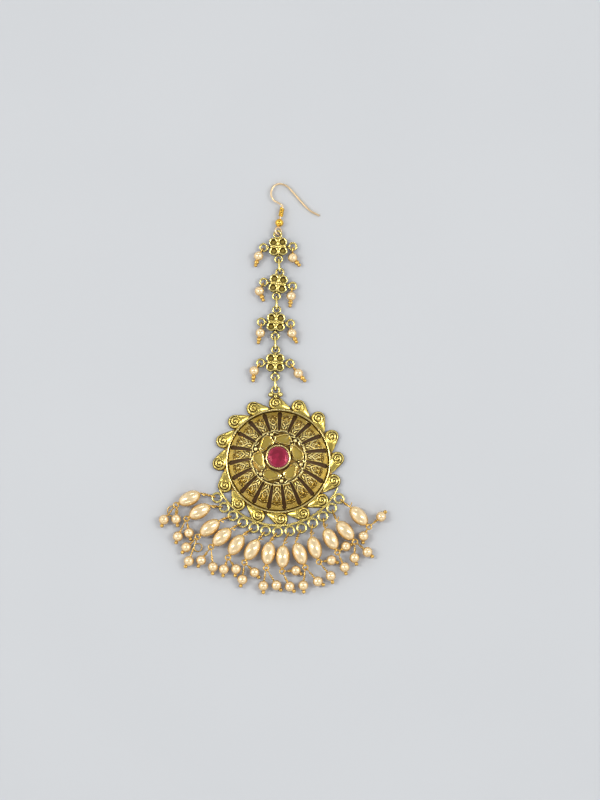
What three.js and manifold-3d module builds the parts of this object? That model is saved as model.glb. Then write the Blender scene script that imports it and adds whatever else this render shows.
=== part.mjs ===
// Maang tikka lying on its back: a hair hook, four flower links, a slotted dome medallion edged with
// paisleys, and a fringe of long pearls with small pearl drops.
// Millimetres, +Z up, +Y from the fringe towards the hook, origin at the centre of the footprint.
import * as THREE from "three";
import { mergeVertices } from "three/addons/utils/BufferGeometryUtils.js";
import Module from "manifold-3d";

const wasm = await Module();
wasm.setup();

// ---------- driving dimensions, mm, about the medallion's axis on the floor ----------

const CHAIN_Z = 1.6; // height of the chain's flat rings
const FRINGE_Z = 1.4; // height of the thirteen fringe rings and the crescent wire
const LYING_GAP = 0.05; // what a lying pearl is held off the floor by

const HOOK = {
  wireRadius: 0.35,
  tipZ: 0.4,
  // x, y of the bent wire from its free tip round the bend and down the shank
  route: [
    [14.9, 90.3], [11.5, 92.1], [8.6, 95.0], [5.6, 98.5], [3.2, 101.0],
    [0.5, 102.0], [-1.8, 101.0], [-2.7, 98.4], [-1.8, 95.9], [0.6, 94.4],
    [1.44, 93.4], [0.98, 91.0], [0.64, 89.2], [0.3, 87.4], [0.0, 85.9],
  ],
  shankPoints: 5, // the last points, which lie straight and at the chain's height
  steps: 34,
  sides: 5,
};
const EYE = { x: -0.1, y: 84.3, radius: 1.4, tilt: Math.PI / 4, steps: 10 };
const COIL = {
  top: [1.35, 92.9],
  bottom: [0.75, 89.75],
  bore: 0.65,
  radius: 0.95,
  turns: 5,
  groove: 0.15,
  sides: 8,
};
const BEAD = { centre: [0.3, 87.4], radius: 1.5, bore: 0.65, sides: 10, rows: 5 };

// One row for each flower link: its centre, its turn in degrees, and how far its rings stand off.
const FLOWERS = [
  { x: -0.1, y: 78.4, turn: 2, top: 4.6, bottom: 4.4 },
  { x: -0.1, y: 64.7, turn: -8, top: 4.4, bottom: 4.4 },
  { x: -0.9, y: 50.5, turn: -3, top: 4.7, bottom: 4.9 },
  { x: -1.1, y: 35.7, turn: -1, top: 4.8, bottom: 5.0 },
];
const FLOWER = {
  side: 5.25, // how far the left and right rings stand off
  petalOffset: 2.6,
  petalBase: 0.5,
  petalCup: [[0, 0], [1.08, 0], [1.55, 1.75], [1.35, 2.5], [0.75, 1.9], [0, 1.7]], // r, z
  back: [[0, 0], [2.6, 0], [2.6, 0.9], [0.9, 2.1], [0, 2.1]], // r, z of the plate under the petals
  sides: 6,
  leafInner: 0.5,
  leafWidth: 0.85,
  leafZ: 1.8,
  leafHeight: 1.1,
  leafJoint: 0.3, // how far a leaf's tip reaches into its ring's wire
};
const RING = { radius: 1.3, wire: 0.4, sides: 4, steps: 7 }; // the rings soldered to the flowers
const LINK = { halfHeight: 1.1, wire: 0.7, width: 1.0 };

// One row for each side drop: reach and bearing from its ring to its pearl, and the bearing of its tail.
const SIDE_DROPS = [
  { flower: 1, side: "left", reach: 3.7, bearing: 240, tail: 252 },
  { flower: 1, side: "right", reach: 4.2, bearing: 270, tail: 312 },
  { flower: 2, side: "left", reach: 3.7, bearing: 245, tail: 294 },
  { flower: 2, side: "right", reach: 3.8, bearing: 262, tail: 264 },
  { flower: 3, side: "left", reach: 4.1, bearing: 265, tail: 258 },
  { flower: 3, side: "right", reach: 3.7, bearing: 278, tail: 297 },
  { flower: 4, side: "left", reach: 3.8, bearing: 232, tail: 264 },
  { flower: 4, side: "right", reach: 4.8, bearing: 309, tail: 312 },
];
const SIDE_DROP = {
  loopRadius: 0.95,
  wire: 0.25,
  pearlRadius: 1.75,
  beadRadius: 0.85,
  beadReach: 2.3,
  beadZ: 1.5,
  tipRadius: 0.65,
  tipReach: 3.45,
  tipZ: 1.3,
  loopSides: 4,
  loopSteps: 7,
};

// The slots are closed at the bottom by a liner, a thin skin over the dome's hollow.
const SLOTS = { count: 19, first: 88, inner: 10.6, outer: 17.4, width: 1.15, base: -0.5, height: 12, liner: 0.25 };
const DOME_SEGMENTS = 38;
// r, z of the dome: down the hollow inside from the axis to the floor, and up the outside from the rim
const DOME_INSIDE = [[0, 8.3], [9.2, 7.7], [11.4, 6.6], [13.6, 4.7], [15.7, 2.5], [17.3, 0]];
const DOME_OUTSIDE = [
  [18.8, 0], [18.8, 1.2], [18.2, 1.7], [16.6, 3.2], [14.4, 5.5], [12.0, 7.4], [9.5, 8.6], [0, 9.2],
];

const PAISLEYS = {
  count: 16,
  first: 92.4,
  orbit: 21.0,
  headRadius: 2.5,
  tail: [4.1, -1.6],
  tailRadius: 0.55,
  base: 0.2,
  plate: 0.9,
  bevel: 0.5,
  inset: 0.3,
};
const PLAQUES = {
  bearings: [130, 76, 15, -48, -112, -173],
  orbit: 7.2,
  lead: 0.9, // how far a plaque's head sits clockwise of its bearing
  scale: 0.72,
  base: 8.3,
  plate: 1.1,
  bevel: 0.5,
  inset: 0.3,
};
const ROSETTE_BALLS = { bearings: [106, 45, -17, -82, -136, 159], orbit: 8.5, radius: 0.8, z: 8.9 };
// r, z of the collar round the stone, and of the stone
const BEZEL = [[3.95, 8.6], [4.55, 8.6], [4.35, 10.3], [4.25, 10.6], [3.95, 10.6], [3.95, 8.6]];
const STONE = [[0, 9.5], [2.7, 9.5], [3.6, 10.4], [3.6, 10.7], [2.7, 11.4], [0, 11.4]];
const STONE_SIDES = 16;

const TOP_RING = { x: -1.0, y: 25.7, radius: 1.35, wire: 0.42 };
const TOP_BALLS = { offsets: [[-1.75, -1.6], [1.75, -1.5]], radius: 0.9 };
const TOP_NECK = { y: 23.5, radius: 0.8 };

const CRESCENT = { radius: 23.4, wire: 0.45, from: -153.4, to: -24.5, steps: 18, sides: 4 };
const FRINGE_RINGS = { orbit: 25.65, first: -148.8, last: -32, radius: 1.6, wire: 0.45, sides: 4, steps: 8 };

// One row for each strand, from left to right. From its fringe ring, reach and bearing lead to its
// long pearl, and lean is the way the pearl's lower end points. near and far are its two small drops:
// reach and bearing lead from the strand's lower loop to the small pearl, and tip is the way its end
// ball points.
const STRANDS = [
  { reach: 9.8, bearing: 183, lean: 206, near: [6.8, 230, 252], far: [5.0, 270, 284] },
  { reach: 8.9, bearing: 191, lean: 209, near: [7.0, 244, 254], far: [5.1, 280, 285] },
  { reach: 9.4, bearing: 209, lean: 217, near: [5.5, 222, 232], far: [9.2, 250, 238] },
  { reach: 9.2, bearing: 216, lean: 223, near: [5.8, 233, 244], far: [7.1, 276, 267] },
  { reach: 9.0, bearing: 226, lean: 237, near: [4.4, 250, 262], far: [5.0, 305, 262] },
  { reach: 8.5, bearing: 236, lean: 239, near: [6.1, 263, 255], far: [5.0, 316, 312] },
  { reach: 8.6, bearing: 247, lean: 262, near: [6.4, 261, 270], far: [7.1, 301, 313] },
  { reach: 9.8, bearing: 255, lean: 268, near: [5.9, 297, 313], far: [4.9, 5, 330] },
  { reach: 9.5, bearing: 266, lean: 292, near: [6.4, 263, 275], far: [6.6, 312, 330] },
  { reach: 9.1, bearing: 274, lean: 287, near: [6.5, 310, 287], far: [4.5, 9, 340] },
  { reach: 8.8, bearing: 288, lean: 297, near: [5.9, 296, 282], far: [3.8, 36, 20] },
  { reach: 9.6, bearing: 300, lean: 311, near: [5.7, 268, 288], far: [5.7, 321, 318] },
  { reach: 9.6, bearing: 317, lean: 313, near: [3.8, 239, 266], far: [5.8, 41, 49] },
];
const OVAL = { halfLength: 4.25, radius: 2.6, bore: 0.55, sides: 9, rows: 6 };
const STRAND = {
  wire: 0.25,
  loopSides: 4,
  loopSteps: 7,
  loopRadius: 1.0, // of the standing loop through the fringe ring
  lowerLoop: 0.9,
  elbow: 0.33,
  collar: 0.2, // clear wire between a long pearl's end and the strand's bends
  pearlRadius: 1.85,
  tipRadius: 0.7,
  tipReach: 2.25,
  tipDrop: 0.3,
};

// ---------- finishes ----------

const antiqueGold = new THREE.MeshStandardMaterial({ color: 0xc9a846, roughness: 0.35, metalness: 1 });
const hookGold = new THREE.MeshStandardMaterial({ color: 0xe0ba7c, roughness: 0.25, metalness: 1 });
const coilGold = new THREE.MeshStandardMaterial({ color: 0xcf942c, roughness: 0.3, metalness: 1 });
const wireGold = new THREE.MeshStandardMaterial({ color: 0xc08a3a, roughness: 0.3, metalness: 1 });
const pearlCream = new THREE.MeshStandardMaterial({ color: 0xf0d8a8, roughness: 0.2, metalness: 0 });
const rubyRed = new THREE.MeshStandardMaterial({ color: 0xa82448, roughness: 0.08, metalness: 0 });

// ---------- helpers ----------

const ROD_SIDES = 3;

const radians = (degrees) => (degrees * Math.PI) / 180;
const polar = (distance, degrees) => [
  distance * Math.cos(radians(degrees)),
  distance * Math.sin(radians(degrees)),
];
const outline = (points) => points.map(([r, z]) => new THREE.Vector2(r, z));
const place = (x, y, z) => new THREE.Matrix4().makeTranslation(x, y, z);
const turned = (degrees) => new THREE.Matrix4().makeRotationZ(radians(degrees));

// A closed three.js geometry, moved by a matrix, as a solid that can be joined and cut.
function solid(geometry, matrix = new THREE.Matrix4()) {
  const bare = new THREE.BufferGeometry();
  bare.setAttribute("position", geometry.getAttribute("position").clone());
  if (geometry.index) bare.setIndex(geometry.index.clone());
  const merged = mergeVertices(bare.applyMatrix4(matrix), 1e-4);
  return new wasm.Manifold(
    new wasm.Mesh({
      numProp: 3,
      vertProperties: merged.attributes.position.array,
      triVerts: new Uint32Array(merged.index.array),
    }),
  );
}

const joined = (solids) => solids.reduce((whole, next) => whole.add(next));

function named(name, shape, material) {
  const { numProp, vertProperties, triVerts } = shape.getMesh();
  const positions = new Float32Array((vertProperties.length / numProp) * 3);
  for (let i = 0; i < positions.length / 3; i++) {
    positions.set(vertProperties.subarray(i * numProp, i * numProp + 3), i * 3);
  }
  const geometry = new THREE.BufferGeometry();
  geometry.setAttribute("position", new THREE.BufferAttribute(positions, 3));
  geometry.setIndex(new THREE.BufferAttribute(new Uint32Array(triVerts), 1));
  const mesh = new THREE.Mesh(geometry.toNonIndexed(), material);
  mesh.geometry.computeVertexNormals();
  mesh.name = name;
  return mesh;
}

// A frame whose X runs from one point to another and whose XY plane stands upright.
function upright(from, to) {
  const along = new THREE.Vector3().subVectors(to, from).normalize();
  const across = new THREE.Vector3(0, 0, 1).cross(along).normalize().negate();
  const up = new THREE.Vector3().crossVectors(across, along);
  return new THREE.Matrix4().makeBasis(along, up, across).setPosition(from);
}

const ring = (radius, wire, sides, steps, matrix) =>
  solid(new THREE.TorusGeometry(radius, wire, sides, steps), matrix);
const ball = (radius, columns, rows, matrix) =>
  solid(new THREE.SphereGeometry(radius, columns, rows), matrix);
// A turned shape whose axis is +Z, from r, z points.
const turnedShape = (points, sides) =>
  new THREE.LatheGeometry(outline(points), sides).rotateX(Math.PI / 2);

// A straight thin wire between two points.
function rod(from, to, radius) {
  const length = from.distanceTo(to);
  const geometry = new THREE.CylinderGeometry(radius, radius, length, ROD_SIDES);
  geometry.rotateZ(-Math.PI / 2).translate(length / 2, 0, 0);
  return solid(geometry, upright(from, to));
}

// An upright wire loop whose near and far ends lie at two points.
function standingLoop(from, to, { loopRadius, wire, loopSides, loopSteps }) {
  const halfLength = from.distanceTo(to) / 2;
  const geometry = new THREE.TorusGeometry(loopRadius, wire, loopSides, loopSteps);
  geometry.scale(halfLength / loopRadius, 1, 1).translate(halfLength, 0, 0);
  return solid(geometry, upright(from, to));
}

// A bent wire along a smooth curve.
function bentWire(points, radius, sides, steps) {
  const section = new THREE.Shape(
    Array.from({ length: sides }, (_, i) => new THREE.Vector2(...polar(radius, (360 * i) / sides))),
  );
  const extrudePath = new THREE.CatmullRomCurve3(points, false, "centripetal");
  return solid(new THREE.ExtrudeGeometry(section, { steps, extrudePath }));
}

// A turned bead with a bore along X, its profile an ellipse between the two mouths of the bore.
function boredBead({ halfLength, radius, bore, sides, rows }) {
  const mouth = Math.asin(bore / radius);
  const profile = Array.from({ length: rows + 1 }, (_, i) => {
    const t = mouth + ((Math.PI - 2 * mouth) * i) / rows;
    return new THREE.Vector2(radius * Math.sin(t), -halfLength * Math.cos(t));
  });
  return new THREE.LatheGeometry([...profile, profile[0]], sides).rotateZ(-Math.PI / 2);
}

// A comma: a round head about the origin and a tail that tapers to a blunt tip.
function commaShape({ headRadius, tail, tailRadius }) {
  const [tipX, tipY] = tail;
  const shape = new THREE.Shape();
  shape.absarc(0, 0, headRadius, radians(60), radians(285), false);
  shape.quadraticCurveTo(tipX * 0.6, tipY - tailRadius, tipX, tipY - tailRadius);
  shape.absarc(tipX, tipY, tailRadius, radians(270), radians(410), false);
  shape.quadraticCurveTo(tipX * 0.72, tipY * -0.1, ...polar(headRadius, 60));
  return shape;
}

// A comma plate with bevelled edges, standing on z = base.
function commaPlate({ base, plate, bevel, inset }, scale) {
  const geometry = new THREE.ExtrudeGeometry(commaShape(PAISLEYS), {
    depth: plate / scale,
    bevelThickness: bevel / scale,
    bevelSize: inset,
    bevelOffset: -inset,
    bevelSegments: 1,
    curveSegments: 2,
  });
  return geometry.scale(scale, scale, scale).translate(0, 0, base + bevel);
}

// ---------- hook ----------

function makeHook() {
  const climbing = HOOK.route.length - HOOK.shankPoints;
  const points = HOOK.route.map(([x, y], i) => {
    const climb = Math.min(1, i / climbing);
    return new THREE.Vector3(x, y, HOOK.tipZ + (CHAIN_Z - HOOK.tipZ) * climb);
  });
  const eyeFrame = place(EYE.x, EYE.y, CHAIN_Z).multiply(new THREE.Matrix4().makeRotationY(EYE.tilt));
  const wire = joined([
    bentWire(points, HOOK.wireRadius, HOOK.sides, HOOK.steps),
    ring(EYE.radius, HOOK.wireRadius, HOOK.sides, EYE.steps, eyeFrame),
  ]);

  const coilTop = new THREE.Vector3(...COIL.top, CHAIN_Z);
  const coilBottom = new THREE.Vector3(...COIL.bottom, CHAIN_Z);
  const length = coilTop.distanceTo(coilBottom);
  const profile = [new THREE.Vector2(COIL.bore, 0)];
  for (let i = 0; i <= 2 * COIL.turns; i++) {
    const radius = i % 2 ? COIL.radius : COIL.radius - COIL.groove;
    profile.push(new THREE.Vector2(radius, (length * i) / (2 * COIL.turns)));
  }
  profile.push(new THREE.Vector2(COIL.bore, length), profile[0]);
  const coil = new THREE.LatheGeometry(profile, COIL.sides).rotateZ(-Math.PI / 2);

  const beadCentre = new THREE.Vector3(...BEAD.centre, CHAIN_Z);
  const bead = boredBead({ halfLength: BEAD.radius, ...BEAD });
  return [
    named("hook_wire", wire, hookGold),
    named("hook_coil", solid(coil, upright(coilBottom, coilTop)), coilGold),
    named("hook_bead", solid(bead, upright(beadCentre, coilBottom)), coilGold),
  ];
}

// ---------- flower links and side drops ----------

// The centres of a flower's four rings, by name.
function ringCentres({ x, y, turn, top, bottom }) {
  const at = (distance, degrees) => {
    const [dx, dy] = polar(distance, degrees + turn);
    return new THREE.Vector3(x + dx, y + dy, CHAIN_Z);
  };
  return {
    top: at(top, 90),
    left: at(FLOWER.side, 180),
    bottom: at(bottom, 270),
    right: at(FLOWER.side, 0),
  };
}

function makeFlower(row, index) {
  const centre = new THREE.Vector3(row.x, row.y, 0);
  const petal = turnedShape(FLOWER.petalCup, FLOWER.sides).translate(0, 0, FLOWER.petalBase);
  const solids = [solid(turnedShape(FLOWER.back, FLOWER.sides), place(row.x, row.y, 0))];
  for (let i = 0; i < 4; i++) {
    const [dx, dy] = polar(FLOWER.petalOffset, 45 + 90 * i + row.turn);
    solids.push(solid(petal, place(row.x + dx, row.y + dy, 0)));
  }
  Object.values(ringCentres(row)).forEach((ringCentre) => {
    const arm = Math.hypot(ringCentre.x - row.x, ringCentre.y - row.y);
    const leafEnd = arm - RING.radius + FLOWER.leafJoint;
    const leafMiddle = (FLOWER.leafInner + leafEnd) / 2 / arm;
    const leaf = new THREE.SphereGeometry(1, 5, 4);
    leaf.scale((leafEnd - FLOWER.leafInner) / 2, FLOWER.leafHeight, FLOWER.leafWidth);
    const start = centre.clone().lerp(ringCentre, leafMiddle).setZ(FLOWER.leafZ);
    solids.push(solid(leaf, upright(start, ringCentre.clone().setZ(FLOWER.leafZ))));
    solids.push(ring(RING.radius, RING.wire, RING.sides, RING.steps, place(...ringCentre)));
  });
  return named(`flower_link_${index + 1}`, joined(solids), antiqueGold);
}

// A standing oval link whose end bends pass through two flat rings.
function makeLink(from, to, index) {
  const length = from.distanceTo(to);
  const oval = (path, radius) => {
    path.absarc(length - LINK.halfHeight, 0, radius, -Math.PI / 2, Math.PI / 2, false);
    path.absarc(LINK.halfHeight, 0, radius, Math.PI / 2, (3 * Math.PI) / 2, false);
    return path;
  };
  const shape = oval(new THREE.Shape(), LINK.halfHeight + LINK.wire / 2);
  shape.holes.push(oval(new THREE.Path(), LINK.halfHeight - LINK.wire / 2));
  const geometry = new THREE.ExtrudeGeometry(shape, {
    depth: LINK.width,
    bevelEnabled: false,
    curveSegments: 3,
  });
  const frame = upright(from, to).multiply(place(0, 0, -LINK.width / 2));
  return named(`link_ring_${index + 1}`, solid(geometry, frame), antiqueGold);
}

function makeSideDrop({ flower, side, reach, bearing, tail }) {
  const hole = ringCentres(FLOWERS[flower - 1])[side];
  const step = (from, distance, degrees, z) => {
    const [dx, dy] = polar(distance, degrees);
    return new THREE.Vector3(from.x + dx, from.y + dy, z);
  };
  const pearlZ = SIDE_DROP.pearlRadius + LYING_GAP;
  const loopFrom = step(hole, RING.radius - SIDE_DROP.loopRadius, bearing, CHAIN_Z);
  const loopTo = step(hole, RING.radius + SIDE_DROP.loopRadius, bearing, CHAIN_Z);
  const pearl = step(hole, reach, bearing, pearlZ);
  const bead = step(pearl, SIDE_DROP.beadReach, tail, SIDE_DROP.beadZ);
  const tip = step(pearl, SIDE_DROP.tipReach, tail, SIDE_DROP.tipZ);
  const shape = joined([
    standingLoop(loopFrom, loopTo, SIDE_DROP),
    rod(loopTo, pearl, SIDE_DROP.wire),
    ball(SIDE_DROP.pearlRadius, 7, 5, place(...pearl)),
    ball(SIDE_DROP.beadRadius, 5, 4, place(...bead)),
    ball(SIDE_DROP.tipRadius, 5, 4, place(...tip)),
  ]);
  return named(`side_drop_${flower}_${side}`, shape, wireGold);
}

// ---------- medallion ----------

function makeDome() {
  const shell = turnedShape([...DOME_INSIDE, ...DOME_OUTSIDE], DOME_SEGMENTS);
  const slot = new THREE.BoxGeometry(SLOTS.outer - SLOTS.inner, SLOTS.width, SLOTS.height);
  slot.translate((SLOTS.inner + SLOTS.outer) / 2, 0, SLOTS.base + SLOTS.height / 2);
  const slots = Array.from({ length: SLOTS.count }, (_, i) =>
    solid(slot, turned(SLOTS.first + (360 * i) / SLOTS.count)),
  );
  // everything below the liner's upper face, which the slots stop at
  const linerTop = DOME_INSIDE.map(([r, z]) => [r && r + SLOTS.liner, z + SLOTS.liner]).reverse();
  const [footRadius] = linerTop[0];
  const kept = turnedShape([[0, SLOTS.base], [footRadius, SLOTS.base], ...linerTop], DOME_SEGMENTS);
  const cutters = joined(slots).subtract(solid(kept, turned(SLOTS.first)));
  return solid(shell, turned(SLOTS.first)).subtract(cutters);
}

function makeRosette() {
  const plaque = commaPlate(PLAQUES, PLAQUES.scale);
  plaque.rotateY(Math.PI).translate(0, 0, 2 * PLAQUES.base + PLAQUES.plate + 2 * PLAQUES.bevel);
  const plaques = PLAQUES.bearings.map((degrees) =>
    solid(plaque, turned(degrees - 90).multiply(place(PLAQUES.lead, PLAQUES.orbit, 0))),
  );
  const balls = ROSETTE_BALLS.bearings.map((degrees) =>
    ball(ROSETTE_BALLS.radius, 6, 4, place(...polar(ROSETTE_BALLS.orbit, degrees), ROSETTE_BALLS.z)),
  );
  return [...plaques, ...balls, solid(turnedShape(BEZEL, STONE_SIDES))];
}

function makePaisleys() {
  const plate = commaPlate(PAISLEYS, 1);
  return Array.from({ length: PAISLEYS.count }, (_, i) => {
    const bearing = PAISLEYS.first + (360 * i) / PAISLEYS.count;
    return solid(plate, turned(bearing - 90).multiply(place(0, PAISLEYS.orbit, 0)));
  });
}

// The bearing of each fringe ring, from left to right.
const fringeBearing = (index) =>
  FRINGE_RINGS.first + ((FRINGE_RINGS.last - FRINGE_RINGS.first) * index) / (STRANDS.length - 1);

function fringeRingCentre(index) {
  return new THREE.Vector3(...polar(FRINGE_RINGS.orbit, fringeBearing(index)), FRINGE_Z);
}

function makeFringeRings() {
  const { radius, wire, sides, steps } = FRINGE_RINGS;
  const arcPoints = Array.from({ length: CRESCENT.steps + 1 }, (_, i) => {
    const bearing = CRESCENT.from + ((CRESCENT.to - CRESCENT.from) * i) / CRESCENT.steps;
    return new THREE.Vector3(...polar(CRESCENT.radius, bearing), FRINGE_Z);
  });
  const rings = STRANDS.map((_, i) => {
    const frame = place(...fringeRingCentre(i)).multiply(turned(180 + fringeBearing(i)));
    return ring(radius, wire, sides, steps, frame);
  });
  return [bentWire(arcPoints, CRESCENT.wire, CRESCENT.sides, CRESCENT.steps), ...rings];
}

function makeMedallion() {
  const topRing = ring(TOP_RING.radius, TOP_RING.wire, 5, 10, place(TOP_RING.x, TOP_RING.y, CHAIN_Z));
  const topBalls = TOP_BALLS.offsets.map(([dx, dy]) =>
    ball(TOP_BALLS.radius, 6, 4, place(TOP_RING.x + dx, TOP_RING.y + dy, CHAIN_Z)),
  );
  const neck = ball(TOP_NECK.radius, 6, 4, place(TOP_RING.x, TOP_NECK.y, CHAIN_Z));
  const shape = joined([
    makeDome(),
    ...makeRosette(),
    ...makePaisleys(),
    ...makeFringeRings(),
    topRing,
    ...topBalls,
    neck,
  ]);
  return named("medallion", shape, antiqueGold);
}

const makeStone = () => named("centre_stone", solid(turnedShape(STONE, STONE_SIDES)), rubyRed);

// ---------- fringe ----------

const ovalBead = boredBead(OVAL);

// A small drop: its wire from the strand's lower loop, a small pearl and an end ball.
function makeSmallDrop(lowerLoop, [reach, bearing, tip]) {
  const pearlZ = STRAND.pearlRadius + LYING_GAP;
  const [dx, dy] = polar(reach, bearing);
  const pearl = new THREE.Vector3(lowerLoop.x + dx, lowerLoop.y + dy, pearlZ);
  const [tipX, tipY] = polar(STRAND.tipReach, tip);
  const wireStart = lowerLoop.clone().lerp(pearl, STRAND.lowerLoop / reach);
  return [
    rod(wireStart, pearl, STRAND.wire),
    ball(STRAND.pearlRadius, 7, 5, place(...pearl)),
    ball(STRAND.tipRadius, 5, 4, place(pearl.x + tipX, pearl.y + tipY, pearlZ - STRAND.tipDrop)),
  ];
}

function makeStrand(row, index) {
  const number = String(index + 1).padStart(2, "0");
  const ringCentre = fringeRingCentre(index);
  const [dx, dy] = polar(row.reach, row.bearing);
  const middle = new THREE.Vector3(ringCentre.x + dx, ringCentre.y + dy, OVAL.radius + LYING_GAP);
  const lean = new THREE.Vector3(...polar(1, row.lean), 0);
  const along = (distance) => middle.clone().addScaledVector(lean, distance);
  const pinEnd = OVAL.halfLength + STRAND.collar;
  const top = along(-pinEnd);
  const bottom = along(pinEnd);
  const lowerLoop = along(pinEnd + STRAND.lowerLoop);

  const outward = top.clone().setZ(FRINGE_Z).sub(ringCentre).normalize();
  const loopFrom = ringCentre.clone().addScaledVector(outward, FRINGE_RINGS.radius - STRAND.loopRadius);
  const loopTo = ringCentre.clone().addScaledVector(outward, FRINGE_RINGS.radius + STRAND.loopRadius);
  const wire = joined([
    standingLoop(loopFrom, loopTo, STRAND),
    rod(loopTo, top, STRAND.wire),
    ball(STRAND.elbow, 4, 3, place(...top)),
    rod(top, bottom, STRAND.wire),
    ring(STRAND.lowerLoop, STRAND.wire, STRAND.loopSides, STRAND.loopSteps, place(...lowerLoop)),
    ...makeSmallDrop(lowerLoop, row.near),
    ...makeSmallDrop(lowerLoop, row.far),
  ]);
  return [
    named(`oval_pearl_${number}`, solid(ovalBead, upright(middle, bottom)), pearlCream),
    named(`strand_${number}`, wire, wireGold),
  ];
}

// ---------- assembly ----------

const tikka = new THREE.Group();
tikka.add(...makeHook());
FLOWERS.forEach((row, i) => {
  const rings = ringCentres(row);
  const next = FLOWERS[i + 1];
  const nextTop = next ? ringCentres(next).top : new THREE.Vector3(TOP_RING.x, TOP_RING.y, CHAIN_Z);
  tikka.add(makeFlower(row, i), makeLink(rings.bottom, nextTop, i));
});
tikka.add(...SIDE_DROPS.map(makeSideDrop));
tikka.add(makeMedallion(), makeStone());
tikka.add(...STRANDS.flatMap(makeStrand));

// The origin is the middle of the footprint, on the floor.
const footprint = new THREE.Box3().setFromObject(tikka);
const middle = footprint.getCenter(new THREE.Vector3());
tikka.position.set(-middle.x, -middle.y, -footprint.min.z);

export default tikka;
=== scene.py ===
"""Looks of a maang tikka: hair hook, flower links with pearl drops, slotted dome medallion, pearl fringe.

The solids fix where every piece lies. Shapes are worked in millimetres about the medallion's axis, on
the floor, and a finished piece is brought to metres in the row frame.
"""

import logging
import math
from collections.abc import Callable, Iterable, Sequence
from dataclasses import dataclass, field
from enum import Enum

import bmesh
import bpy
from mathutils import Matrix, Vector, noise

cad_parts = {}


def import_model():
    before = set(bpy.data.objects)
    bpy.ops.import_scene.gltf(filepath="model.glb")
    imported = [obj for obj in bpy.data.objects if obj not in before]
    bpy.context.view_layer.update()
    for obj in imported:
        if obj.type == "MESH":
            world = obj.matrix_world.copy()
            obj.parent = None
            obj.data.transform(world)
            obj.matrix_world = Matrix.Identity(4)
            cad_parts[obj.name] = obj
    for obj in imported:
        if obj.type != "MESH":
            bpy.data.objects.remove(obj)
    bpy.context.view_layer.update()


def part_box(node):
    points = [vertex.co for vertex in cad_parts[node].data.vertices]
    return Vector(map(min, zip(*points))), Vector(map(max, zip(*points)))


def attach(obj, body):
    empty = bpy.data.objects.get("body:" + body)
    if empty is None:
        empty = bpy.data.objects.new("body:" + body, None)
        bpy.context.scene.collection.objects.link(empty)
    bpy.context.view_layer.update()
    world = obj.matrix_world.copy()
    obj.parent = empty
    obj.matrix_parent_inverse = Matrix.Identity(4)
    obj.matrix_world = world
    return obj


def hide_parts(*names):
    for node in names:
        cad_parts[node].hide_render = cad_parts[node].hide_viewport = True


LOG = logging.getLogger("tikka")
MILLIMETRE = 0.001
CHAIN_Z = 1.6  # the height at which the chain's rings lie, in millimetres
FRINGE_Z = 1.4  # the height at which the fringe's rings lie
LYING_GAP = 0.05  # how far a pearl stays off the floor
# The dark tone is oxide in the chasing, the paisleys' spirals and the petal cups, and painted shade in the
# slots, round the rosette, under the plaques, along the scallops and on the paisleys' sides.
PATINA_AND_SHADE = "patina_and_shade"  # how much dark tone a point keeps, 0 to 1
RING_SIDES = 10
COIL_SIDES = 6
COIL_STEPS = 12  # pieces in each turn of a coil

Profile = Sequence[tuple[float, float]]
Colour = tuple[float, float, float]


# ---------------------------------------------------------------- shader maths


class Op:
    """A shader socket that adds up, multiplies and compares like a number."""

    def __init__(self, graph: "Graph", socket: bpy.types.NodeSocket) -> None:
        """Wraps an output socket of a node graph."""
        self.graph = graph
        self.socket = socket

    def _math(self, operation: str, *values: "Op | float") -> "Op":
        """The result of one Math node with this operation and these inputs, in order."""
        return self.graph.node("ShaderNodeMath", {"operation": operation}, dict(enumerate(values)))[0]

    def __add__(self, other: "Op | float") -> "Op":
        """The sum of two values."""
        return self._math("ADD", self, other)

    __radd__ = __add__

    def __sub__(self, other: "Op | float") -> "Op":
        """This value less another."""
        return self._math("SUBTRACT", self, other)

    def __rsub__(self, other: float) -> "Op":
        """A number less this value."""
        return self._math("SUBTRACT", other, self)

    def __mul__(self, other: "Op | float") -> "Op":
        """The product of two values."""
        return self._math("MULTIPLY", self, other)

    __rmul__ = __mul__

    def step(self, low: float, high: float) -> "Op":
        """A smooth rise from 0 at low to 1 at high.

        Args:
            low: the value at which the rise starts.
            high: the value at which it ends.

        Returns:
            The risen value, between 0 and 1.
        """
        settings = {"interpolation_type": "SMOOTHSTEP"}
        sockets = {"Value": self, "From Min": low, "From Max": high}
        return self.graph.node("ShaderNodeMapRange", settings, sockets)["Result"]


class Outputs:
    """The outputs of one node, by place or by name."""

    def __init__(self, graph: "Graph", made: bpy.types.Node) -> None:
        """Wraps a node of a node graph."""
        self.graph = graph
        self.made = made

    def __getitem__(self, key: int | str) -> Op:
        """One output as a value."""
        return Op(self.graph, self.made.outputs[key])


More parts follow.
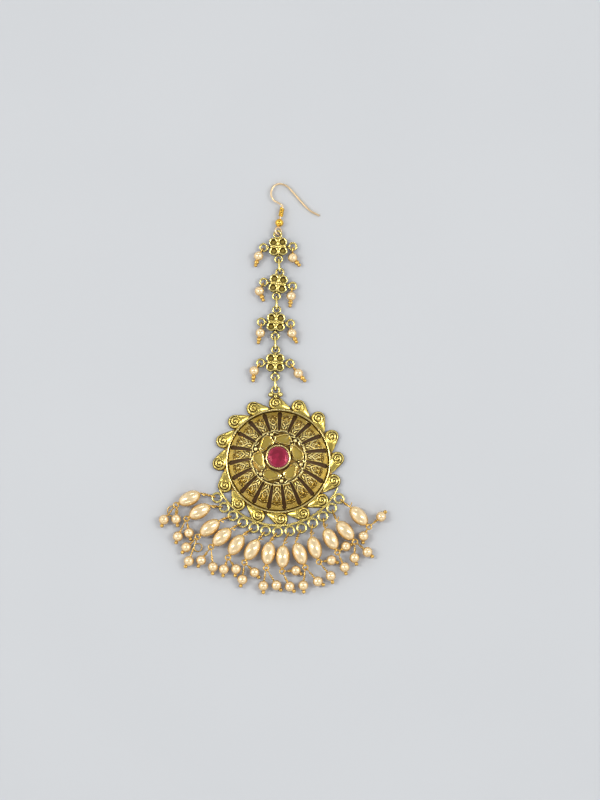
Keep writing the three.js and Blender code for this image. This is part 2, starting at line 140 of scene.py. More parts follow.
class Graph:
    """The node graph of one material."""

    def __init__(self, name: str) -> None:
        """Starts an empty material.

        Args:
            name: the material's name.
        """
        self.material = bpy.data.materials.new(name)
        self.material.use_nodes = True
        self.tree = self.material.node_tree
        self.tree.nodes.clear()

    def node(self, kind: str, settings: dict | None = None, sockets: dict | None = None) -> Outputs:
        """Adds a node.

        Args:
            kind: the node's type.
            settings: the node's own settings, set before its sockets.
            sockets: a number, colour or linked value for each input, by name or place.

        Returns:
            The node's outputs.
        """
        made = self.tree.nodes.new(kind)
        for key, value in (settings or {}).items():
            setattr(made, key, value)
        for key, value in (sockets or {}).items():
            if isinstance(value, Op):
                self.tree.links.new(value.socket, made.inputs[key])
            else:
                made.inputs[key].default_value = value
        return Outputs(self, made)

    def mix(self, share: Op | float, first: Op | Colour, second: Op | Colour) -> Op:
        """Mixes two colours.

        Args:
            share: 0 for the first colour, 1 for the second.
            first: a colour or a linked colour.
            second: a colour or a linked colour.

        Returns:
            The mixed colour.
        """
        made = self.tree.nodes.new("ShaderNodeMix")
        made.data_type = "RGBA"
        for name, value in (("Factor", share), ("A", first), ("B", second)):
            socket = next(s for s in made.inputs if s.name == name and s.enabled)
            if isinstance(value, Op):
                self.tree.links.new(value.socket, socket)
            elif isinstance(value, tuple):
                socket.default_value = (*value, 1.0)
            else:
                socket.default_value = value
        return Op(self, next(s for s in made.outputs if s.enabled))

    def place(self) -> Op:
        """Object coordinates, in metres in the row frame."""
        return self.node("ShaderNodeTexCoord")["Object"]

    def upward(self) -> Op:
        """How far a face looks up: 1 for straight up, -1 for straight down."""
        facing = self.node("ShaderNodeTexCoord")["Normal"]
        return self.node("ShaderNodeSeparateXYZ", None, {"Vector": facing})["Z"]

    def speckle(self, size: float, detail: float, seed: float) -> Op:
        """A noise of about 0.5: its patches' width in millimetres, its finer layers and which noise it is."""
        sockets = {"Vector": self.place(), "W": seed, "Scale": 1 / (size * MILLIMETRE), "Detail": detail}
        return self.node("ShaderNodeTexNoise", {"noise_dimensions": "4D"}, sockets)["Fac"]

    def bump(self, height: Op, depth: float, strength: float = 1.0) -> Op:
        """A normal bumped by a height of 0 to 1 that rises by a depth in millimetres."""
        sockets = {"Height": height, "Distance": depth * MILLIMETRE, "Strength": strength}
        return self.node("ShaderNodeBump", None, sockets)["Normal"]

    def finish(self, sockets: dict) -> bpy.types.Material:
        """Closes the material with its shader.

        Args:
            sockets: what goes into the shader's inputs.

        Returns:
            The finished material.
        """
        shader = self.node("ShaderNodeBsdfPrincipled", None, sockets)["BSDF"]
        self.node("ShaderNodeOutputMaterial", None, {"Surface": shader})
        return self.material


# ---------------------------------------------------------------- finishes


@dataclass(frozen=True)
class GoldFinish:
    """Gold plate that is darker where it is shut in and paler where it is rubbed, with painted shade on its
    steep sides and a painted highlight on its sharp places.

    Attributes:
        name: the material's name.
        rubbed: its colour on open faces.
        worn_highlight: its colour in paler patches on sharp places: gold rubbed bright, and a painted
            highlight.
        stain_and_shade: its colour where its dark tone thins out: thin oxide, and painted shade on sloping
            sides.
        recess_and_shade: its colour in crevices, and where its steep sides take full painted shade.
        reach: how far a crevice looks for what shuts it in, in millimetres.
        open_from: how open a place must be to start losing its dark tone.
        open_to: how open a place must be to show clean gold.
        hollow_from: how hollow a place must be to be fully dark, below 0.5 for hollow.
        hollow_to: how hollow it may be and still show clean gold.
        flank_shade: how much painted shade its steep sides get, 0 to 1.
        steep: how far its faces look up where the steep sides' painted shade is full, and where it ends.
        roughness: its roughness on open faces.
        grain: how deep the casting grain is, in millimetres.
        grain_size: how wide the casting grain is, in millimetres.
        patch_size: how wide the uneven patches are, in millimetres.
        tone: how much dark tone a point has where it starts to show and where it is full.
        edges: how sharp a place is where the paler colour and painted highlight start and where they are
            full.
        darkened: how free of dark tone a place is where the crevice colour ends and the thinner stain and
            shade colour is full.
        cleared: how free of dark tone a place is where the gold starts and where it is full.
        dulling: how much rougher a dark place is.
        dark_metal: how metallic a dark place is.
    """

    name: str
    rubbed: Colour
    worn_highlight: Colour
    stain_and_shade: Colour
    recess_and_shade: Colour
    reach: float = 1.0
    open_from: float = 0.35
    open_to: float = 0.9
    hollow_from: float = 0.34
    hollow_to: float = 0.47
    flank_shade: float = 0.8
    steep: tuple[float, float] = (-0.05, 0.5)
    roughness: float = 0.3
    grain: float = 0.007
    grain_size: float = 0.5
    patch_size: float = 2.4
    tone: tuple[float, float] = (0.08, 0.95)
    edges: tuple[float, float] = (0.49, 0.56)
    darkened: tuple[float, float] = (0.0, 0.55)
    cleared: tuple[float, float] = (0.35, 0.9)
    dulling: float = 0.22
    dark_metal: float = 0.55

    def material(self) -> bpy.types.Material:
        """The finish as a material."""
        graph = Graph(self.name)
        settings = {"samples": 8}
        openness = graph.node("ShaderNodeAmbientOcclusion", settings, {"Distance": self.reach * MILLIMETRE})
        patches = graph.speckle(self.patch_size, detail=3.0, seed=1.0)
        fine = graph.speckle(self.grain_size, detail=2.0, seed=2.0)
        curve = graph.node("ShaderNodeNewGeometry")["Pointiness"]
        patina_and_shade = graph.node("ShaderNodeAttribute", {"attribute_name": PATINA_AND_SHADE})["Fac"]
        upward = graph.upward()
        bare_unshaded = (openness["AO"] + (patches - 0.5) * 0.25).step(self.open_from, self.open_to)
        bare_unshaded = bare_unshaded * curve.step(self.hollow_from, self.hollow_to)
        # The dark-tone attribute holds oxide in the chasing and painted shade in the slots and under parts.
        bare_unshaded = bare_unshaded * (1 - (patina_and_shade + (fine - 0.5) * 0.2).step(*self.tone))
        # Steep and downward faces take painted shade.
        bare_unshaded = bare_unshaded * (1 - self.flank_shade * (1 - (upward + (patches - 0.5) * 0.3).step(*self.steep)))
        # Sharp places take the paler colour: partly gold rubbed bright, partly a painted highlight.
        gold = graph.mix((curve + (patches - 0.5) * 0.1).step(*self.edges), self.rubbed, self.worn_highlight)
        darkened = graph.mix(bare_unshaded.step(*self.darkened), self.recess_and_shade, self.stain_and_shade)
        colour = graph.mix(bare_unshaded.step(*self.cleared), darkened, gold)
        rough = self.roughness + (1 - bare_unshaded) * self.dulling + (fine - 0.5) * 0.1
        return graph.finish(
            {
                "Base Color": colour,
                "Metallic": self.dark_metal + bare_unshaded.step(0.0, 0.5) * (1 - self.dark_metal),
                "Roughness": rough,
                "Normal": graph.bump(fine, self.grain),
            }
        )


@dataclass(frozen=True)
class PearlFinish:
    """Pearl lacquer: cream on top, with a painted golden reflection and painted shade down its flanks.

    Attributes:
        name: the material's name.
        crown: its colour where it faces up.
        flank_shade: its colour where it faces sideways: a painted golden reflection and shade.
        shade: its colour underneath.
        flanks: how far a face looks up where the painted shade underneath ends and the sideways colour is
            full.
        crowns: how far it looks up where the crown's colour starts and where it is full.
    """

    name: str
    crown: Colour
    flank_shade: Colour
    shade: Colour
    flanks: tuple[float, float] = (-0.2, 0.6)
    crowns: tuple[float, float] = (0.4, 0.98)

    def material(self) -> bpy.types.Material:
        """The finish as a material."""
        graph = Graph(self.name)
        clouds = graph.speckle(size=5.0, detail=2.0, seed=3.0)
        swirl = graph.speckle(size=0.9, detail=3.0, seed=4.0)
        # Colour follows how far a face looks up: painted shade underneath, a painted golden reflection on the
        # sides.
        height = graph.upward() + (clouds - 0.5) * 0.3
        side = graph.mix(height.step(*self.flanks), self.shade, self.flank_shade)
        colour = graph.mix(height.step(*self.crowns), side, self.crown)
        return graph.finish(
            {
                "Base Color": colour,
                "Metallic": 0.4,
                "Specular Tint": (1.0, 0.92, 0.76, 1.0),
                "Roughness": 0.22 + swirl * 0.08,
                "Coat Weight": 1.0,
                "Coat Roughness": 0.09,
                "Coat IOR": 2.0,
                "Normal": graph.bump(swirl, depth=0.01, strength=0.5),
            }
        )


@dataclass(frozen=True)
class StoneFinish:
    """A foil-backed red stone.

    Attributes:
        name: the material's name.
        depth: its colour in the deep patches.
        glow: its colour where the foil shines through.
        facet: how wide its inner facets are, in millimetres.
    """

    name: str
    depth: Colour
    glow: Colour
    facet: float = 1.3

    def material(self) -> bpy.types.Material:
        """The finish as a material."""
        graph = Graph(self.name)
        sockets = {"Vector": graph.place(), "Scale": 1 / (self.facet * MILLIMETRE), "Randomness": 0.8}
        facets = graph.node("ShaderNodeTexVoronoi", None, sockets)["Color"]
        foil = graph.node("ShaderNodeSeparateXYZ", None, {"Vector": facets})["X"]
        colour = graph.mix(foil, self.depth, self.glow)
        return graph.finish(
            {
                "Base Color": colour,
                "Metallic": 0.35,
                "Roughness": 0.12 + foil * 0.08,
                "Coat Weight": 1.0,
                "Coat Roughness": 0.02,
                "Coat IOR": 1.5,
            }
        )


@dataclass(frozen=True)
class SheetFinish:
    """A matt studio sheet.

    Attributes:
        name: the material's name.
        light: its colour.
        dim: its colour in very faint patches.
    """

    name: str
    light: Colour
    dim: Colour

    def material(self) -> bpy.types.Material:
        """The finish as a material."""
        graph = Graph(self.name)
        tone = graph.speckle(size=60.0, detail=1.0, seed=6.0)
        colour = graph.mix(tone.step(0.3, 0.7), self.dim, self.light)
        return graph.finish({"Base Color": colour, "Roughness": 0.75 + tone * 0.1})


class Finish(Enum):
    """The finishes of the jewel."""

    ANTIQUE = "antique_gold"
    # Antique gold with strong painted shade down its sides, for the rings, flowers and paisleys.
    SIDE_SHADED = "side_shaded_gold"
    HOOK = "hook_gold"
    BRIGHT = "bright_gold"
    WIRE = "wire_gold"
    PEARL = "pearl"
    RUBY = "ruby"

    @property
    def slot(self) -> str:
        """The record's material slot that the finish belongs to."""
        return Finish.ANTIQUE.value if self is Finish.SIDE_SHADED else self.value


FINISHES = {
    # Strong painted shade down the sides draws the dark outlines of rings and flowers.
    Finish.SIDE_SHADED: GoldFinish(
        name="side_shaded_gold",
        rubbed=(0.78, 0.60, 0.13),
        worn_highlight=(0.96, 0.79, 0.27),
        stain_and_shade=(0.30, 0.20, 0.03),
        recess_and_shade=(0.07, 0.036, 0.010),
        flank_shade=0.94,
        steep=(0.25, 0.92),
        roughness=0.24,
    ),
    Finish.ANTIQUE: GoldFinish(
        name="antique_gold",
        rubbed=(0.90, 0.665, 0.145),
        worn_highlight=(1.0, 0.86, 0.40),
        stain_and_shade=(0.40, 0.25, 0.035),
        recess_and_shade=(0.075, 0.036, 0.010),
        flank_shade=0.6,
        steep=(-0.1, 0.45),
        roughness=0.21,
    ),
    Finish.HOOK: GoldFinish(
        name="hook_gold",
        rubbed=(0.90, 0.66, 0.36),
        worn_highlight=(0.94, 0.72, 0.44),
        stain_and_shade=(0.66, 0.42, 0.18),
        recess_and_shade=(0.45, 0.25, 0.08),
        open_from=0.1,
        open_to=0.5,
        flank_shade=0.35,
        roughness=0.36,
        grain=0.003,
        hollow_from=0.2,
        hollow_to=0.3,
    ),
    Finish.BRIGHT: GoldFinish(
        name="bright_gold",
        rubbed=(0.84, 0.50, 0.06),
        worn_highlight=(0.9, 0.58, 0.1),
        stain_and_shade=(0.6, 0.32, 0.03),
        recess_and_shade=(0.35, 0.15, 0.01),
        open_from=0.1,
        open_to=0.6,
        flank_shade=0.5,
        roughness=0.24,
        grain=0.003,
        hollow_from=0.25,
        hollow_to=0.4,
    ),
    Finish.WIRE: GoldFinish(
        name="wire_gold",
        rubbed=(0.66, 0.38, 0.07),
        worn_highlight=(0.80, 0.52, 0.14),
        stain_and_shade=(0.40, 0.20, 0.03),
        recess_and_shade=(0.16, 0.065, 0.010),
        open_from=0.15,
        open_to=0.6,
        flank_shade=0.85,
        steep=(0.0, 0.75),
        roughness=0.36,
        grain=0.003,
        hollow_from=0.25,
        hollow_to=0.4,
    ),
    Finish.PEARL: PearlFinish(
        name="pearl_lacquer",
        crown=(0.92, 0.71, 0.39),
        flank_shade=(0.78, 0.49, 0.15),
        shade=(0.44, 0.21, 0.04),
    ),
    Finish.RUBY: StoneFinish(name="red_stone", depth=(0.26, 0.005, 0.03), glow=(0.46, 0.012, 0.065)),
}


# ---------------------------------------------------------------- geometry helpers


def bearing(distance: float, degrees: float, height: float = 0.0) -> Vector:
    """The point at a distance and a bearing from the axis."""
    turn = math.radians(degrees)
    return Vector((distance * math.cos(turn), distance * math.sin(turn), height))


def ramp(value: float, start: float, width: float) -> float:
    """How far a value has come from start over a width, kept between 0 and 1."""
    return min(1.0, max(0.0, (value - start) / width))


def turned(degrees: float) -> Matrix:
    """A turn about +Z."""
    return Matrix.Rotation(math.radians(degrees), 4, "Z")


def upright(start: Vector, end: Vector) -> Matrix:
    """A frame at start whose X points at end and whose XY plane stands upright.

    Args:
        start: where the frame's origin is.
        end: what its X axis points at.

    Returns:
        The frame.
    """
    along = (end - start).normalized()
    level = Vector((0, 0, 1)).cross(along).normalized()
    up = along.cross(level)
    rows = Matrix((along, up, -level)).transposed().to_4x4()
    return Matrix.Translation(start) @ rows


def flowing(points: Sequence[Vector], steps: int) -> list[Vector]:
    """A smooth line through points.

    Args:
        points: what the line passes through.
        steps: how many pieces each stretch between two points has.

    Returns:
        The points of the line.
    """
    line = [points[0].copy()]
    ends = [2 * points[0] - points[1], *points, 2 * points[-1] - points[-2]]
    for before, start, end, after in zip(ends, ends[1:], ends[2:], ends[3:]):
        for i in range(1, steps + 1):
            t = i / steps
            line.append(
                0.5
                * (
                    2 * start
                    + (end - before) * t
                    + (2 * before - 5 * start + 4 * end - after) * t * t
                    + (3 * start - before - 3 * end + after) * t**3
                )
            )
    return line


def oval_loop(half_length: float, half_height: float, steps: int) -> list[Vector]:
    """The points of an ellipse in the XY plane, from its near end at the origin."""
    turns = [2 * math.pi * i / steps for i in range(steps)]
    return [Vector((half_length * (1 - math.cos(t)), half_height * math.sin(t), 0)) for t in turns]


class Forge:
    """One piece in the making: a mesh in millimetres about the medallion's axis."""

    def __init__(self) -> None:
        """Starts with nothing on the bench."""
        self.mesh = bmesh.new()
        self.patina_and_shade = self.mesh.verts.layers.float.new(PATINA_AND_SHADE)

    def darken(self, verts: Iterable[bmesh.types.BMVert], share: float) -> None:
        """Gives points the share of dark tone that they keep, 0 to 1."""
        for vert in verts:
            vert[self.patina_and_shade] = share

    def ball(
        self,
        centre: Vector,
        radius: float,
        stretch: Vector = Vector((1, 1, 1)),
        turn: Matrix = Matrix.Identity(4),
        columns: int = 20,
        rows: int = 12,
    ) -> None:
        """Adds a ball or an ellipsoid.

        Args:
            centre: its centre.
            radius: its radius before it is stretched.
            stretch: how far it is stretched along each of its own axes.
            turn: how its own axes are turned.
            columns: how many sides it has round its pole.
            rows: how many bands it has from pole to pole.
        """
        matrix = Matrix.Translation(centre) @ turn @ Matrix.Diagonal((*stretch, 1))
        bmesh.ops.create_uvsphere(
            self.mesh, u_segments=columns, v_segments=rows, radius=radius, matrix=matrix
        )

    def turned_shape(self, profile: Profile, steps: int, frame: Matrix = Matrix.Identity(4)) -> list:
        """Adds a shape turned about its own +Z.

        Args:
            profile: radius and height of each point of its outline.
            steps: how many sides it has.
            frame: where it stands.

        Returns:
            Its vertices.
        """
        points = [self.mesh.verts.new((r, 0, z)) for r, z in profile]
        edges = [self.mesh.edges.new(pair) for pair in zip(points, points[1:])]
        kept = set(self.mesh.verts) - set(points)
        bmesh.ops.spin(
            self.mesh,
            geom=points + edges,
            cent=(0, 0, 0),
            axis=(0, 0, 1),
            dvec=(0, 0, 0),
            angle=2 * math.pi,
            steps=steps,
            use_merge=True,
            use_duplicate=False,
        )
        made = [v for v in self.mesh.verts if v not in kept]
        bmesh.ops.remove_doubles(self.mesh, verts=made, dist=1e-4)
        made = [v for v in self.mesh.verts if v not in kept]
        bmesh.ops.transform(self.mesh, matrix=frame, verts=made)
        return made

    def wire(
        self,
        path: Sequence[Vector],
        radius: float | Callable[[float], float],
        sides: int = 8,
        closed: bool = False,
    ) -> None:
        """Draws a wire along a path.

        Args:
            path: the points it follows.
            radius: its radius, or the radius at each share of its length.
            sides: how many sides it has.
            closed: whether its end joins its start.
        """
        count = len(path)
        wide = radius if callable(radius) else lambda share: radius
        ahead = [path[(i + 1) % count if closed else min(i + 1, count - 1)] for i in range(count)]
        behind = [path[i - 1 if closed or i else 0] for i in range(count)]
        tangents = [(a - b).normalized() for a, b in zip(ahead, behind)]
        across = Vector((0, 0, 1)).cross(tangents[0])
        if across.length < 0.1:
            across = Vector((1, 0, 0)).cross(tangents[0])
        across.normalize()
        rings, frame_before = [], None
        for i, (point, tangent) in enumerate(zip(path, tangents)):
            if i:
                across = tangents[i - 1].rotation_difference(tangent) @ across
            across = (across - tangent * across.dot(tangent)).normalized()
            rows = Matrix((across, tangent.cross(across), tangent)).transposed().to_4x4()
            size = max(wide(i / (count - 1)), 1e-3)
            frame = Matrix.Translation(point) @ rows @ Matrix.Diagonal((size, size, size, 1))
            if frame_before is None:
                ring = bmesh.ops.create_circle(
                    self.mesh, cap_ends=not closed, segments=sides, radius=1, matrix=frame
                )["verts"]
                edges = list({e for v in ring for e in v.link_edges})
            else:
                geometry = bmesh.ops.extrude_edge_only(self.mesh, edges=rings[-1])["geom"]
                ring = [g for g in geometry if isinstance(g, bmesh.types.BMVert)]
                edges = [g for g in geometry if isinstance(g, bmesh.types.BMEdge)]
                edges = [e for e in edges if all(v in ring for v in e.verts)]
                bmesh.ops.transform(self.mesh, matrix=frame @ frame_before.inverted(), verts=ring)
            rings.append(edges)
            frame_before = frame
        if closed:
            bmesh.ops.bridge_loops(self.mesh, edges=rings[0] + rings[-1])
        else:
            bmesh.ops.holes_fill(self.mesh, edges=rings[-1], sides=0)

    def ring(
        self, centre: Vector, radius: float, wire: float, tilt: Matrix = Matrix.Identity(4), steps: int = 28
    ) -> None:
        """Adds a closed ring of round wire.

        Args:
            centre: its centre.
            radius: its radius at the middle of its wire.
            wire: its wire's radius.
            tilt: how it is turned from lying flat.
            steps: how many pieces it has round.
        """
        path = [centre + tilt @ bearing(radius, 360 * i / steps) for i in range(steps)]
        self.wire(path, wire, sides=RING_SIDES, closed=True)

    def standing_loop(self, start: Vector, end: Vector, half_height: float, wire: float) -> None:
        """Adds an upright wire loop whose near and far ends lie at two points.

        Args:
            start: its near end.
            end: its far end.
            half_height: half its height.
            wire: its wire's radius.
        """
        frame = upright(start, end)
        points = oval_loop((end - start).length / 2, half_height, 20)
        self.wire([frame @ p for p in points], wire, closed=True)

    def coil(self, start: Vector, end: Vector, radius: float, wire: float, turns: float) -> None:
        """Winds a wire round a line.

        Args:
            start: where the line starts.
            end: where it ends.
            radius: the radius of the winding.
            wire: its wire's radius.
            turns: how many turns it has.
        """
        frame = upright(start, end)
        length = (end - start).length
        steps = int(COIL_STEPS * turns)
        path = []
        for i in range(steps + 1):
            turn = 2 * math.pi * turns * i / steps
            around = (radius * math.cos(turn), radius * math.sin(turn))
            path.append(frame @ Vector((length * i / steps, *around)))
        self.wire(path, wire, sides=COIL_SIDES)

    def deliver(self, bench: "Bench", name: str, finish: Finish, *nodes: str, crease: float = 40.0) -> None:
        """Finishes the piece and hands it over.

        Args:
            bench: where the piece goes.
            name: the piece's name.
            finish: its finish.
            nodes: the solids that it stands for.
            crease: how sharp an edge has to be to show as an edge, in degrees.
        """
        bmesh.ops.recalc_face_normals(self.mesh, faces=self.mesh.faces)
        for face in self.mesh.faces:
            face.smooth = True
        limit = math.radians(crease)
        for edge in self.mesh.edges:
            edge.smooth = edge.calc_face_angle(0.0) < limit
        bmesh.ops.transform(self.mesh, matrix=bench.to_row, verts=self.mesh.verts)
        data = bpy.data.meshes.new(name)
        self.mesh.to_mesh(data)
        self.mesh.free()
        piece = bpy.data.objects.new(name, data)
        bpy.context.scene.collection.objects.link(piece)
        data.materials.append(bench.materials[finish])
        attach(piece, "root")
        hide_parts(*nodes)
        LOG.info("%s: %d faces", name, len(data.polygons))


class Bench:
    """Where the jewel lies, and the finishes it is dressed in."""

    def __init__(self) -> None:
        """Reads the medallion's axis from the stone's solid and mixes the finishes."""
        low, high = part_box("centre_stone")
        axis = (low + high) / 2
        self.axis = Vector((axis.x, axis.y, 0))
        self.to_row = Matrix.Translation(self.axis) @ Matrix.Scale(MILLIMETRE, 4)
        self.materials = {finish: recipe.material() for finish, recipe in FINISHES.items()}


# ---------------------------------------------------------------- hook


@dataclass
class HairHook:
    """The bent wire hook with its wound sleeve, its ball and its eye.

    Attributes:
        route: x and y of the wire from its free tip round the bend to the eye.
        shank_points: how many of the last points lie level at the chain's height.
        wire: the wire's radius.
        tip_z: the height of the free tip.
        eye: the middle of the eye.
        eye_radius: the eye's radius.
        coil: where the sleeve starts and ends.
        coil_radius: the radius of the sleeve's winding.
        coil_wire: the radius of the sleeve's wire.
        coil_turns: how many turns the sleeve has.
        ball: the ball's centre.
        ball_radius: the ball's radius.
    """

    route: Profile = (
        (14.9, 90.3), (11.5, 92.1), (8.6, 95.0), (5.6, 98.5), (3.2, 101.0),
        (0.5, 102.0), (-1.8, 101.0), (-2.7, 98.4), (-1.8, 95.9), (0.6, 94.4),
        (1.44, 93.4), (0.98, 91.0), (0.64, 89.2), (0.3, 87.4), (0.0, 85.9),
    )  # fmt: skip
    shank_points: int = 5
    wire: float = 0.35
    tip_z: float = 0.4
    eye: tuple[float, float] = (-0.1, 84.3)
    eye_radius: float = 1.4
    coil: Profile = ((1.35, 92.9), (0.75, 89.75))
    coil_radius: float = 0.66
    coil_wire: float = 0.25
    coil_turns: float = 7
    ball: tuple[float, float] = (0.3, 87.4)
    ball_radius: float = 1.5

    def build(self, bench: Bench) -> None:
        """Builds the hook's pieces.

        Args:
            bench: where they go.
        """
        forge = Forge()
        climbing = len(self.route) - self.shank_points
        points = []
        for i, (x, y) in enumerate(self.route):
            share = min(1.0, i / climbing)
            points.append(Vector((x, y, self.tip_z + (CHAIN_Z - self.tip_z) * share)))
        forge.wire(flowing(points, 8), self.wire, sides=12)
        tilt = Matrix.Rotation(math.pi / 4, 4, "Y")
        forge.ring(Vector((*self.eye, CHAIN_Z)), self.eye_radius, self.wire, tilt)
        forge.deliver(bench, "hook_bent_wire", Finish.HOOK, "hook_wire")

        top, bottom = (Vector((x, y, CHAIN_Z)) for x, y in self.coil)
        forge = Forge()
        forge.coil(top, bottom, self.coil_radius, self.coil_wire, self.coil_turns)
        forge.deliver(bench, "hook_sleeve", Finish.BRIGHT, "hook_coil")

        forge = Forge()
        forge.ball(Vector((*self.ball, CHAIN_Z)), self.ball_radius, columns=32, rows=20)
        forge.deliver(bench, "hook_ball", Finish.BRIGHT, "hook_bead")


# ---------------------------------------------------------------- chain


@dataclass(frozen=True)
class FlowerPlace:
    """Where one flower link lies.

    Attributes:
        x: its centre's x.
        y: its centre's y.
        turn: its turn in degrees.
        top: how far its top ring stands off.
        bottom: how far its bottom ring stands off.
    """

    x: float
    y: float
    turn: float
    top: float
    bottom: float


@dataclass
class FlowerChain:
    """The four flower links, the standing rings between them and the pearl drops at their sides.

    Attributes:
        places: where each flower lies.
        side: how far a flower's left and right rings stand off.
        ring: the radius of the rings soldered to a flower.
        ring_wire: the radius of their wire.
        back: radius and height of the outline of a flower's back plate.
        cup: radius and height of a petal cup's outline, from its base to its middle.
        cup_offset: how far a cup's middle lies from the flower's.
        cup_floor: the radius of a cup's darker floor, the height above which it lies, and its dark tone.
        leaf: half the length, width and height of the leaves between the petals.
        leaf_place: how far a leaf lies from the flower's middle, and how high.
        joint: half the length, width and height of the solder where a ring joins the flower.
        link_half: half the length and half the height of the round ends of a standing ring.
        link_wire: the radius of its wire.
        pearl: the radius of a side drop's pearl.
        eye: half the length and height of a side drop's loop.
        bead: how far a side drop's bead lies from its pearl's middle, how high, and its radius.
        tip: the same for its end ball.
        top_ring: x and y of the medallion's top ring.
        drops: flower, side, reach, bearing and tail of each side drop.
    """

    places: tuple[FlowerPlace, ...] = (
        FlowerPlace(-0.1, 78.4, 2, 4.6, 4.4),
        FlowerPlace(-0.1, 64.7, -8, 4.4, 4.4),
        FlowerPlace(-0.9, 50.5, -3, 4.7, 4.9),
        FlowerPlace(-1.1, 35.7, -1, 4.8, 5.0),
    )
    side: float = 5.25
    ring: float = 1.3
    ring_wire: float = 0.4
    back: Profile = ((0, 0.2), (2.5, 0.2), (2.9, 0.7), (2.2, 1.5), (0, 2.2))
    cup: Profile = (
        (0, 0.3), (1.2, 0.3), (1.5, 1.2), (1.68, 2.1), (1.7, 2.45), (1.6, 2.74), (1.36, 2.86),
        (1.12, 2.8), (0.97, 2.5), (0.92, 2.15), (0.78, 1.98), (0.4, 1.94), (0, 1.94),
    )  # fmt: skip
    cup_offset: float = 2.3
    cup_floor: tuple[float, float, float] = (0.95, 1.5, 0.4)
    leaf: tuple[float, float, float] = (1.5, 0.52, 0.6)
    leaf_place: tuple[float, float] = (1.45, 2.62)
    joint: tuple[float, float, float] = (0.75, 0.5, 0.5)
    link_half: float = 1.1
    link_wire: float = 0.38
    pearl: float = 1.75
    eye: float = 0.95
    bead: tuple[float, float, float] = (2.3, 1.5, 0.88)
    tip: tuple[float, float, float] = (3.45, 1.3, 0.68)
    top_ring: tuple[float, float] = (-1.0, 25.7)
    drops: tuple[tuple[int, str, float, float, float], ...] = (
        (1, "left", 3.7, 240, 252),
        (1, "right", 4.2, 270, 312),
        (2, "left", 3.7, 245, 294),
        (2, "right", 3.8, 262, 264),
        (3, "left", 4.1, 265, 258),
        (3, "right", 3.7, 278, 297),
        (4, "left", 3.8, 232, 264),
        (4, "right", 4.8, 309, 312),
    )

    def ring_centre(self, place: FlowerPlace, side: str) -> Vector:
        """The centre of one of a flower's rings.

        Args:
            place: the flower.
            side: top, left, bottom or right.

        Returns:
            The ring's centre.
        """
        reach, angle = {
            "top": (place.top, 90),
            "left": (self.side, 180),
            "bottom": (place.bottom, 270),
            "right": (self.side, 0),
        }[side]
        return Vector((place.x, place.y, CHAIN_Z)) + bearing(reach, angle + place.turn)

    def build_flower(self, bench: Bench, number: int, place: FlowerPlace) -> None:
        """Builds one flower link.

        Args:
            bench: where it goes.
            number: its place in the chain.
            place: where it lies.
        """
        forge = Forge()
        centre = Vector((place.x, place.y, 0))
        forge.turned_shape(self.back, 24, Matrix.Translation(centre))
        wide, high, tone = self.cup_floor
        for i in range(4):
            middle = centre + bearing(self.cup_offset, 45 + 90 * i + place.turn)
            made = forge.turned_shape(self.cup, 28)
            forge.darken((v for v in made if v.co.xy.length < wide and v.co.z > high), tone)
            bmesh.ops.transform(forge.mesh, matrix=Matrix.Translation(middle), verts=made)
        for side in ("top", "left", "bottom", "right"):
            hole = self.ring_centre(place, side)
            arm = (hole - centre).xy.length
            along = (hole - centre).xy.normalized().to_3d()
            turn = upright(Vector((0, 0, 0)), along)
            middle = centre + along * self.leaf_place[0] + Vector((0, 0, self.leaf_place[1]))
            forge.ball(middle, 1, Vector(self.leaf), turn, columns=20, rows=14)
            forge.ring(hole, self.ring, self.ring_wire)
            joint = centre + along * (arm - self.ring - 0.25) + Vector((0, 0, 1.7))
            forge.ball(joint, 1, Vector(self.joint), turn)
        forge.ball(centre + Vector((0, 0, 2.72)), 0.5)
        forge.deliver(bench, f"flower_{number}", Finish.SIDE_SHADED, f"flower_link_{number}")

    def build_link(self, bench: Bench, number: int, start: Vector, end: Vector) -> None:
        """Builds one standing ring.

        Args:
            bench: where it goes.
            number: its place in the chain.
            start: the centre of the ring it starts in.
            end: the centre of the ring it ends in.
        """
        forge = Forge()
        frame = upright(start, end)
        length = (end - start).length
        half = self.link_half
        arc = [180 * i / 8 - 90 for i in range(9)]
        far = [Vector((length - half, 0, 0)) + bearing(half, a) for a in arc]
        near = [Vector((half, 0, 0)) + bearing(half, a + 180) for a in arc]
        forge.wire([frame @ p for p in far + near], self.link_wire, sides=RING_SIDES, closed=True)
        forge.deliver(bench, f"standing_ring_{number}", Finish.SIDE_SHADED, f"link_ring_{number}")

